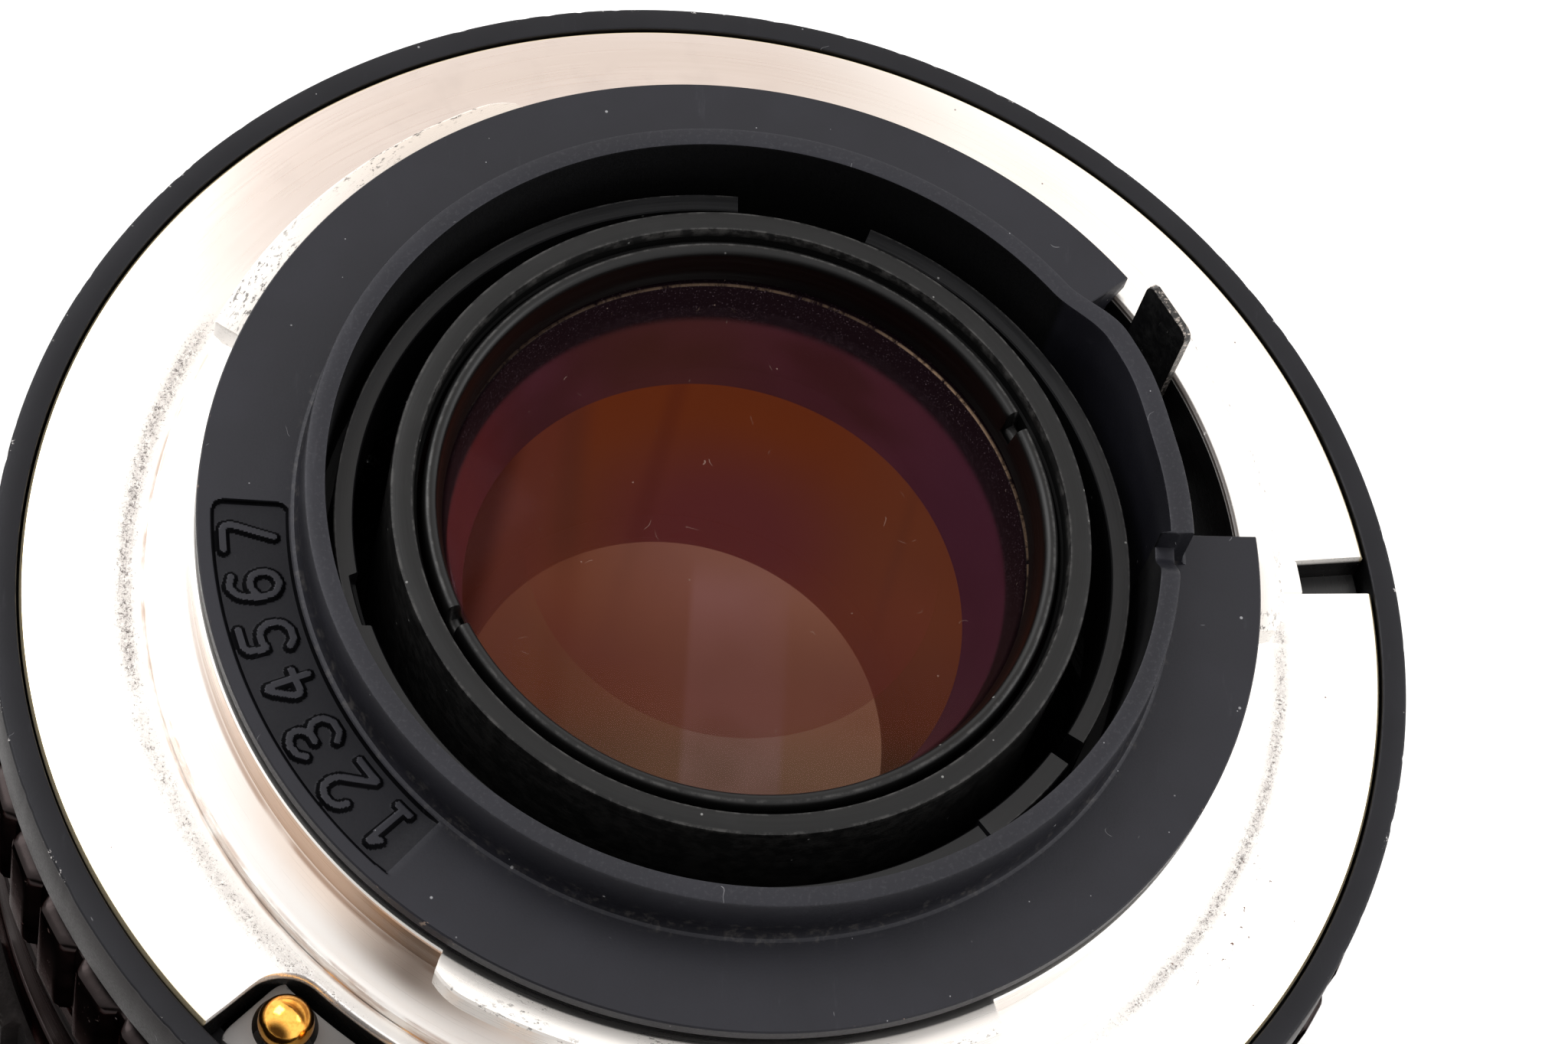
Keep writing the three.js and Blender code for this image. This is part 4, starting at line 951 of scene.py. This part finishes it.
# steep faces of the digits and border take the edge material as painted shade outlines; the sunken floor takes the
# panel material
for k in range(len(idx) - 1):
    for j in range(NP - 1):
        q = H[k:k + 2, j:j + 2]
        t = 2 if q.max() - q.min() > 0.022 else (1 if q.max() < 5.97 else 0)
        if t == 2 and AA[k, j] > 231.0: t = 1
        mi[int(idx[k]) * m_prof + off + j] = t
make("rear_guard", V, Fc, "lens_body", [GUARD, PANEL, PANEL_EDGE], mat_index=mi, replaces=["guard"], smooth_deg=30)

# ------------------------------------------------------------------ black rear rim
rp = fillet([(29.9, F(-2.4)), (29.9, F(0), 0.10), (31.0, F(0), 0.13), (31.18, F(-3.0), 0.15), (30.45, F(-3.0), 0.1), (30.4, F(-3.8)), (28.65, F(-3.8)), (28.65, F(-2.4))], 3)
rng = np.random.default_rng(3)
nick_a = [(float(a), float(w), float(d)) for a, w, d in zip(rng.uniform(0, 360, 70), rng.uniform(0.12, 0.5, 70), rng.uniform(0.01, 0.05, 70))]


def rim_wobble(a, prof):
    d = sum(dp * math.exp(-(((a - c + 180) % 360 - 180) / w) ** 2) for c, w, dp in nick_a)
    return [(r - d if r > 30.85 and z > F(-0.4) else r, z) for r, z in prof]


V, Fc = lathe(rp, 900, rim_wobble)
mi = []
for i in range(900):
    for p in range(len(rp)):
        (r0, z0), (r1, z1) = rp[p], rp[(p + 1) % len(rp)]
        mi.append(1 if min(r0, r1) > 30.9 and (z0 + z1) / 2 < F(-0.12) else 0)
make("black_rim", V, Fc, "lens_body", [RIM, RIMSIDE], mat_index=mi, replaces=["rear_rim"], smooth_deg=30)

# ------------------------------------------------------------------ contact block and sprung contacts
CA = [230.2, 239.6, 249.0]


def block_mesh():
    bm = bmesh.new()
    n = 48
    a0, a1 = 226.9, 252.1
    pts = []
    for k in range(n + 1):
        a = a0 + (a1 - a0) * k / n; pts.append((29.4 * math.cos(rad(a)), 29.4 * math.sin(rad(a))))
    for k in range(n + 1):
        a = a1 - (a1 - a0) * k / n; pts.append((25.85 * math.cos(rad(a)), 25.85 * math.sin(rad(a))))
    vs = [bm.verts.new((x, y, F(-4.1))) for x, y in pts]
    f = bm.faces.new(vs)
    ex = bmesh.ops.extrude_face_region(bm, geom=[f])
    for v in ex["geom"]:
        if isinstance(v, bmesh.types.BMVert): v.co.z = F(-1.0)
    bmesh.ops.recalc_face_normals(bm, faces=bm.faces)
    vert = [e for e in bm.edges if abs(e.verts[0].co.z - e.verts[1].co.z) > 1 and e.calc_face_angle(0) > 1]
    bmesh.ops.bevel(bm, geom=vert, offset=0.7, segments=4, profile=0.5, affect="EDGES")
    top = [e for e in bm.edges if e.verts[0].co.z > F(-1.01) and e.verts[1].co.z > F(-1.01) and e.calc_face_angle(0) > 0.5]
    bmesh.ops.bevel(bm, geom=top, offset=0.12, segments=2, profile=0.5, affect="EDGES")
    me = bpy.data.meshes.new("blk"); bm.to_mesh(me); bm.free()
    o = bpy.data.objects.new("blk_tmp", me); scene.collection.objects.link(o)
    for a in CA:
        cb = bmesh.new()
        bmesh.ops.create_cone(cb, segments=48, radius1=1.36, radius2=1.36, depth=6, cap_ends=True)
        bmesh.ops.translate(cb, verts=cb.verts, vec=(27.2 * math.cos(rad(a)), 27.2 * math.sin(rad(a)), F(-0.75)))
        cm = bpy.data.meshes.new("c"); cb.to_mesh(cm); cb.free()
        co = bpy.data.objects.new("c_tmp", cm); scene.collection.objects.link(co)
        md = o.modifiers.new("b", "BOOLEAN"); md.operation = "DIFFERENCE"; md.object = co; md.solver = "EXACT"
    dg = bpy.context.evaluated_depsgraph_get()
    res = bpy.data.meshes.new_from_object(o.evaluated_get(dg))
    V = [tuple(v.co) for v in res.vertices]; Fc = [tuple(p.vertices) for p in res.polygons]
    for t in [x for x in bpy.data.objects if x.name.startswith(("c_tmp", "blk_tmp"))]:
        bpy.data.objects.remove(t)
    return V, Fc


V, Fc = block_mesh()
make("contact_insulator", V, Fc, "lens_body", INSUL, replaces=["contact_block"], smooth_deg=25)
for i, a in enumerate(CA):
    zc, r = F(-0.55), 1.17
    prof = [(0, F(-2.45)), (0.58, F(-2.45)), (0.65, F(-2.38)), (0.65, F(-1.62))]
    for k in range(25):
        t = rad(-54 + 144 * k / 24); prof.append((max(0, r * math.cos(t)) if k < 24 else 0, zc + r * math.sin(t)))
    V, Fc = lathe(prof, 48)
    cx, cy = 27.2 * math.cos(rad(a)), 27.2 * math.sin(rad(a))
    make(f"gold_contact_{i + 1}", [(x + cx, y + cy, z) for x, y, z in V], Fc, f"contact_{i + 1}", GOLD, replaces=[f"contact_pin_{i + 1}"], smooth_deg=35)

# ------------------------------------------------------------------ stop-down ring with its lever
def ring_at(a):
    gap = max(win(a, 70.0, 90.0, 0.2), win(a, 325.5, 329.5, 0.2))
    notch = win(a, 192.0, 200.5, 0.25)
    pad = win(a, 308.5, 325.3, 0.2)
    top = F(5.7) - gap * 4.3
    ri = 16.22 + 0.36 * notch - 0.12 * pad
    top += 0.22 * pad
    return [(16.25, F(0.42)), (18.08, F(0.42)), (18.1, F(0.46)), (18.1, F(0.96)), (18.05, F(1.0)), (17.1, F(1.0)), (17.05, F(1.08)),
            (17.05, top - 0.06), (17.0, top), (ri + 0.06, top), (ri, top - 0.06), (ri, top - 0.9 if top > F(3) else F(1.2)), (16.25, F(1.1) if top < F(3) else top - 1.0)]


an = angles(1.0, (70, 0.25), (90, 0.25), (325.4, 0.3), (329.5, 0.25), (192, 0.3), (200.5, 0.3), (308.5, 0.25))
V1, F1 = revolve([(a, ring_at(a)) for a in an])
arm = []
for a in [25 + 12 * k / 16 for k in range(17)]:
    arm.append((a, [(17.6, F(0.42)), (21.75, F(0.42)), (21.8, F(0.47)), (21.8, F(0.95)), (21.75, F(1.0)), (17.6, F(1.0))]))
Va, Fa = [], []
n = 6
for a, pr in arm: Va += [(r * math.cos(rad(a)), r * math.sin(rad(a)), z) for r, z in pr]
for i in range(16):
    for p in range(n):
        q = (p + 1) % n; Fa.append((i * n + p, (i + 1) * n + p, (i + 1) * n + q, i * n + q))
Fa += [tuple(range(n)), tuple(range(16 * n, 17 * n))]
bar_ = box((17.45, 18.0), (-1.5, 1.5), (15.4, F(0.9)), 120, 0.1)
lugp = box((17.6, 19.85), (-0.4, 0.4), (27.4, 28.6), 123.5, 0.1)
V, Fc = join((V1, F1), (Va, Fa), bar_, lugp)
STOPR = mat_turned("stop_ring_black", (0.0030, 0.0030, 0.0036), 0.42, ring=5.0, spec=0.34, lips=((17.0, 0.05),))
ring_o = make("stop_ring", V, Fc, "stop_lever", [STOPR], replaces=["stop_lever_ring"], smooth_deg=30)


def tab_mesh():
    """Upright lever tab: thin plate with clipped top corners; edge faces take the worn finish."""
    bm = bmesh.new()
    z0, z1 = F(0.9), F(9.08)
    out = [(-1.5, z0), (1.5, z0), (1.5, z1 - 0.42), (1.42, z1 - 0.18), (1.18, z1), (-1.12, z1), (-1.38, z1 - 0.14), (-1.5, z1 - 0.42)]
    vs = [bm.verts.new((21.38, y, z)) for y, z in out]
    f = bm.faces.new(vs)
    ex = bmesh.ops.extrude_face_region(bm, geom=[f])
    for v in ex["geom"]:
        if isinstance(v, bmesh.types.BMVert): v.co.x = 21.74
    bmesh.ops.recalc_face_normals(bm, faces=bm.faces)
    es = [e for e in bm.edges if abs(e.verts[0].co.x - e.verts[1].co.x) < 1e-6 and min(v.co.z for v in e.verts) > z0 + 0.01 or False]
    bmesh.ops.bevel(bm, geom=es, offset=0.055, segments=2, profile=0.6, affect="EDGES")
    bm.normal_update()
    mi, V, Fc = [], [], []
    bm.verts.ensure_lookup_table(); bm.verts.index_update()
    ca, sa = math.cos(rad(31)), math.sin(rad(31))
    for v in bm.verts: V.append((v.co.x * ca - v.co.y * sa, v.co.x * sa + v.co.y * ca, v.co.z))
    for f in bm.faces:
        Fc.append(tuple(v.index for v in f.verts)); mi.append(0 if abs(f.normal.x) > 0.97 else 1)
    bm.free()
    return V, Fc, mi


V, Fc, mi = tab_mesh()
make("stop_lever_tab", V, Fc, "stop_lever", [LEVER, WORN], mat_index=mi, smooth_deg=25)

# ------------------------------------------------------------------ rear cell, retaining ring, rear glass
cell = fillet([
    (10.3, 25.35), (17.1, 25.35, 0.1), (17.1, 26.15, 0.1), (13.95, 26.2, 0.1), (13.95, 30.0), (14.9, 31.0),
    (14.9, F(7.7), 0.16), (13.95, F(7.72), 0.06), (13.86, F(7.3), 0.03), (13.82, F(6.9), 0.02), (13.7, F(6.86), 0.02), (13.7, F(1.25)), (11.75, F(1.2)), (11.7, F(1.1)), (11.4, F(0.3)), (11.4, 27.0), (10.3, 26.6)], 2)
V, Fc = lathe(cell, 256)
nc = len(cell)
mi = []
for i in range(256):
    for p in range(nc):
        r0, z0 = cell[p]; r1, z1 = cell[(p + 1) % nc]
        mi.append(0 if max(r0, r1) > 13.75 and (z0 + z1) / 2 > 30 and not (r0 < 13.88 and r1 < 13.88) else 1)
make("rear_cell_ring", V, Fc, "optics", [CELL, INNER], mat_index=mi, smooth_deg=30, replaces=["rear_cell"])


def retainer_at(a):
    nt = max(win(a, 23.9, 27.2, 0.25), win(a, 204.9, 208.2, 0.25))
    zt = 7.52 - 1.0 * nt
    full = [(12.60, F(5.80)), (13.45, F(5.80)), (13.5, F(5.9)), (13.5, F(zt - 0.22)), (13.44, F(zt - 0.08)), (13.32, F(zt)), (13.18, F(zt + 0.01)), (13.02, F(zt - 0.04)),
            (12.92, F(zt - 0.16)), (12.86, F(zt - 0.34)), (12.76, F(6.35)), (12.66, F(6.12)), (12.58, F(5.95)), (12.54, F(5.86))]
    return full


an = angles(1.25, (23.9, 0.3), (27.2, 0.3), (204.9, 0.3), (208.2, 0.3))
V, Fc = revolve([(a, retainer_at(a)) for a in an])
RET = mat_turned("retainer_black", (0.0032, 0.0031, 0.0031), 0.36, ring=4.0, spec=0.24, bump=0.018, dust=0.5, lips=((13.30, 0.05),), wall=12.98)
make("retaining_ring", V, Fc, "optics", RET, replaces=["rear_retainer"], smooth_deg=34)

Rd = (13.4 ** 2 + 1.8 ** 2) / 3.6
prof, tags = [], []
for k in range(41):
    r = 13.4 * k / 40
    prof.append((r, F(7.3) - (Rd - math.sqrt(Rd * Rd - r * r)))); tags.append(0)
for r, z, t in [(13.38, 5.30, 1), (12.75, 5.24, 1), (12.58, 5.18, 1), (12.40, 4.6, 1), (12.22, 3.9, 1), (12.05, 3.2, 1), (11.85, 2.5, 1), (11.5, 1.3, 1), (11.2, 0.2, 1), (11.0, -0.5, 2)]:
    prof.append((r, F(z))); tags.append(t)
for r in (8.5, 6, 3.5, 1.5, 0):
    prof.append((r, F(-0.5) + 0.12 * (1 - (r / 11) ** 2))); tags.append(2)
V, Fc = lathe(prof, 192)
mi = []
for t, u in zip(tags, tags[1:]):
    k = 2 if t == 2 and u == 2 else (0 if u == 0 else 1)
    mi += [k] * 192
make("rear_glass", V, Fc, "optics", [DOME, GWALL, AMBER], mat_index=mi, replaces=["rear_element"], smooth_deg=40)
# glowing sheet that paints the reflected image of an inner edge inside the glass
V, Fc = lathe([(0, F(4.42)), (3, F(4.42)), (6, F(4.42)), (8.93, F(4.42)), (8.95, F(4.40)), (6, F(4.38)), (3, F(4.38)), (0, F(4.38))], 192)
make("glass_inner_image", V, Fc, "optics", VEIL, smooth_deg=40)
# deep coated face, glowing with its painted pink reflection, and its black cell wall
V, Fc = lathe([(0, F(-13.0)), (4, F(-13.05)), (8, F(-13.2)), (9.9, F(-13.3)), (9.95, F(-13.6)), (9.9, F(-14.0)), (5, F(-14.1)), (0, F(-14.1))], 160)
make("rear_doublet_glass", V, Fc, "optics", PINK, replaces=["rear_doublet"], smooth_deg=40)
V, Fc = lathe(fillet([(10.0, F(-13.9)), (11.3, F(-13.9)), (11.3, F(-13.1), 0.1), (10.0, F(-13.1), 0.15)], 2), 128)
make("doublet_seat", V, Fc, "optics", INNER, replaces=["doublet_retainer"], smooth_deg=30)

# ------------------------------------------------------------------ lobed aperture ring
def lobe_r(a):
    t = (a % 6.0) - 3.0                      # lobes at multiples of 6 degrees
    d = 3.0 - abs(t)                          # distance to the lobe's centre
    e = smooth(d, 1.75, 2.6)
    return e


ap = []
step = 0.5
for i in range(720):
    a = i * step
    g = lobe_r(a)
    ro = 31.45 - 0.55 * g
    ap.append((a, [(29.25, 27.6), (30.3, 27.6), (30.55, 27.68), (30.86, 28.1), (30.9, 28.3), (30.9, 29.5), (30.95, 29.65),
                   (ro - 0.02, 30.1), (ro, 30.35), (ro, 36.1), (ro - 0.08, 36.42), (ro - 0.30, 36.56), (30.4, 36.58), (29.35, 36.58), (29.25, 36.5)]))
V, Fc = revolve(ap)
make("aperture_control_ring", V, Fc, "aperture", GLOSS, replaces=["aperture_ring"], smooth_deg=38)

V, Fc = lathe(fillet([(26.75, 22.95), (30.5, 22.95, 0.1), (30.88, 23.3, 0.12), (30.88, 27.0, 0.12), (30.6, 27.28, 0.08), (26.75, 27.28)], 3), 360)
make("index_band", V, Fc, "lens_body", BLACK_ALU, replaces=["index_ring"], smooth_deg=30)

# ------------------------------------------------------------------ focus ring and grip
V, Fc = lathe(fillet([
    (26.95, 0.02), (30.3, 0.0, 0.25), (30.6, 0.6, 0.2), (30.6, 3.0, 0.15), (29.95, 3.4, 0.1), (29.95, 18.6, 0.1), (30.6, 19.0, 0.1), (30.88, 19.6, 0.2), (30.88, 22.55, 0.2),
    (26.85, 22.55), (26.85, 20.25), (28.85, 20.25), (28.85, 3.2), (26.95, 3.2, 0.1)], 3), 360)
make("focus_barrel", V, Fc, "focus", GLOSS, replaces=["focus_ring"], smooth_deg=30)


def grip_rows():
    """Rubber sleeve: blocks in three rows, split by grooves."""
    rows = []
    zs = [4.05, 4.15, 4.35, 4.6, 7.9, 8.15, 8.25, 8.75, 8.85, 9.1, 13.0, 13.25, 13.35, 13.85, 13.95, 14.2, 17.65, 17.9, 18.05, 18.15]
    hi = [0.0, 0.35, 0.7, 1, 1, 0.7, 0.0, 0.0, 0.7, 1, 1, 0.7, 0.0, 0.0, 0.7, 1, 1, 0.7, 0.35, 0.0]
    for i in range(720):
        a = i * 0.5
        t = (a + 5) % 10 - 5
        e = 1 - smooth(abs(t), 3.55, 4.15)
        pr = [(30.02, 18.15), (30.02, 4.05)]
        for z, h in zip(zs, hi):
            pr.append((30.9 + 0.84 * e * h, z))
        rows.append((a, pr))
    return rows


V, Fc = revolve(grip_rows())
make("rubber_grip", V, Fc, "focus", RUBBER, replaces=["focus_grip"], smooth_deg=35)

# ------------------------------------------------------------------ painted scales, index and depth-of-field lines
STROKES["8"] = [[(0.5, 0.53), (0.2, 0.62), (0.14, 0.78), (0.3, 0.96), (0.5, 1.0), (0.7, 0.96), (0.86, 0.78), (0.8, 0.62), (0.5, 0.53), (0.14, 0.42), (0.04, 0.24), (0.2, 0.05), (0.5, 0.0), (0.8, 0.05), (0.96, 0.24), (0.86, 0.42), (0.51, 0.53)]]
STROKES["0"] = [[(0.5, 1.0), (0.2, 0.92), (0.05, 0.68), (0.05, 0.32), (0.2, 0.08), (0.5, 0.0), (0.8, 0.08), (0.95, 0.32), (0.95, 0.68), (0.8, 0.92), (0.51, 1.0)]]
STROKES["i"] = [[(-0.1, 0.5), (0.05, 0.72), (0.25, 0.75), (0.45, 0.55), (0.6, 0.38), (0.8, 0.25), (1.05, 0.32), (1.15, 0.5), (1.05, 0.68), (0.8, 0.75), (0.6, 0.62), (0.45, 0.45), (0.25, 0.25), (0.05, 0.28), (-0.09, 0.48)]]


def ribbon(V, Fc, pts, w, radius, a0, z0):
    """One stroke as a closed flat bar, half sunk into a cylinder; x runs to the right as read with the lens front up."""
    P = np.array(pts, float)
    keep = [0] + [k for k in range(1, len(P)) if np.hypot(*(P[k] - P[k - 1])) > 1e-4]
    P = P[keep]
    n = len(P)
    T = np.zeros_like(P)
    T[1:-1] = P[2:] - P[:-2]; T[0] = P[1] - P[0]; T[-1] = P[-1] - P[-2]
    T /= np.maximum(np.hypot(T[:, 0], T[:, 1]), 1e-9)[:, None]
    N = np.stack([-T[:, 1], T[:, 0]], 1) * w / 2
    P[0] -= T[0] * w * 0.3; P[-1] += T[-1] * w * 0.3
    b = len(V)
    for k in range(n):
        for q in (P[k] + N[k], P[k] - N[k]):
            ang = rad(a0) - q[0] / radius
            for r in (radius + 0.018, radius - 0.05):
                V.append((r * math.cos(ang), r * math.sin(ang), z0 - q[1]))
    for k in range(n - 1):
        i, j = b + 4 * k, b + 4 * (k + 1)
        Fc += [(i, j, j + 2, i + 2), (i + 1, i + 3, j + 3, j + 1), (i, i + 1, j + 1, j), (i + 2, j + 2, j + 3, i + 3)]
    e = b + 4 * (n - 1)
    Fc += [(b, b + 2, b + 3, b + 1), (e, e + 1, e + 3, e + 2)]


def scale_piece(name, body, mat, radius, words, lines=()):
    V, Fc = [], []
    for text, a0, z0, h in words:
        cw, gap, dot = 0.56 * h, 0.22 * h, 0.10 * h
        widths = [dot if c == "." else cw for c in text]
        x = -(sum(widths) + gap * (len(text) - 1)) / 2
        for c, wd in zip(text, widths):
            if c == ".":
                ribbon(V, Fc, [(x, -0.43 * h), (x + dot, -0.43 * h)], 0.17 * h, radius, a0, z0)
            else:
                for pl in STROKES[c]:
                    ribbon(V, Fc, [(x + px * cw, (py - 0.5) * h) for px, py in subdivide_smooth(pl)], 0.14 * h, radius, a0, z0)
            x += wd + gap
    for a0, z0, z1, w in lines:
        ribbon(V, Fc, [(0, 0), (0, z0 - z1)], w, radius, a0, z0)
    return make(name, V, Fc, body, mat, smooth_deg=30)


IX = 60.0
stops = ["2", "2.8", "4", "5.6", "8", "11", "16", "22"]
scale_piece("aperture_scale", "aperture", WHITE, 30.9, [(t, IX - 48.0 * k / 7, 28.98, 0.88) for k, t in enumerate(stops)])
dist = [("i", 0), ("10", 11), ("5", 20), ("3", 33), ("2", 48), ("1.5", 63), ("1.2", 77), ("1", 91), ("0.8", 112), ("0.7", 130), ("0.6", 150), ("0.5", 175), ("0.45", 197)]
scale_piece("distance_scale", "focus", WHITE, 30.88, [(t, IX - d, 20.75, 1.5) for t, d in dist], [(IX - d, 22.35, 21.95, 0.14) for t, d in dist])
dof = [(4, 3.2), (8, 6.6), (11, 9.8), (16, 14.4), (22, 20.0)]
words = [(str(n), IX + sg * d, 25.05, 1.0) for n, d in dof for sg in (-1, 1)]
scale_piece("depth_scale", "lens_body", WHITE, 30.88, words, [(IX + sg * d, 24.25, 23.25, 0.12) for n, d in dof for sg in (-1, 1)])
scale_piece("index_line", "lens_body", ORANGE, 30.88, [], [(IX, 26.85, 23.25, 0.34)])

# ------------------------------------------------------------------ front: filter ring, name ring, front glass
fr = [(26.15, 0.95), (26.15, 6.2), (26.05, 6.3), (21.65, 6.3), (21.6, 6.2), (21.6, 5.55), (21.65, 5.5), (24.70, 5.5)]
zt = 5.2
while zt > 1.5:
    fr += [(24.86, zt), (24.58, zt - 0.375)]
    zt -= 0.75
fr += [(24.9, 1.2), (25.0, 0.9), (25.15, 0.82), (25.95, 0.82), (26.1, 0.87)]
V, Fc = lathe(fr, 256)
make("filter_thread_ring", V, Fc, "optics", RIM, replaces=["filter_ring"], smooth_deg=30)
nr = [(24.15, 3.45), (24.2, 3.6), (24.2, 4.2), (24.1, 4.3), (22.4, 5.2), (21.3, 5.2), (16.9, 8.2), (15.45, 8.2), (15.4, 8.1), (15.4, 7.75)]
steps = 9
for k in range(steps):
    t0, t1 = k / steps, (k + 1) / steps
    r0, z0 = 15.4 + 5.6 * t0, 7.7 - 4.3 * t0
    r1, z1 = 15.4 + 5.6 * t1, 7.7 - 4.3 * t1
    nr += [(r0 + 0.02, z0 - 0.02), (r1 - 0.05, z0 - 0.06), (r1 - 0.03, z1 + 0.04)]
nr += [(21.1, 3.42)]
V, Fc = lathe(nr, 256)
make("front_name_ring", V, Fc, "optics", NAMEP, replaces=["name_ring"], smooth_deg=20)

Rf = (14.35 ** 2 + 2.6 ** 2) / 5.2
prof = []
for k in range(31):
    r = 14.35 * k / 30
    prof.append((r, 7.2 + (Rf - math.sqrt(Rf * Rf - r * r))))
Rg = (14.35 ** 2 + 0.8 ** 2) / 1.6
for k in range(31):
    r = 14.35 * (1 - k / 30)
    prof.append((r if k < 30 else 0, 12.6 + (Rg - math.sqrt(Rg * Rg - r * r)) * 1.0))
V, Fc = lathe(prof, 160)
make("front_glass_element", V, Fc, "optics", FGLASS, replaces=["front_element"], smooth_deg=40)
V, Fc = lathe(fillet([(13.25, 6.2, 0.15), (15.05, 6.2, 0.1), (15.1, 7.1), (13.45, 7.1, 0.05)], 3), 200)
make("front_retaining_ring", V, Fc, "optics", CELL, replaces=["front_retainer"], smooth_deg=30)

# ------------------------------------------------------------------ floor
me = bpy.data.meshes.new("floor")
me.from_pydata([(-3, -3, -0.0002), (3, -3, -0.0002), (3, 3, -0.0002), (-3, 3, -0.0002)], [], [(0, 1, 2, 3)])
floor = bpy.data.objects.new("floor", me)
floor.data.materials.append(mat_floor())
scene.collection.objects.link(floor)
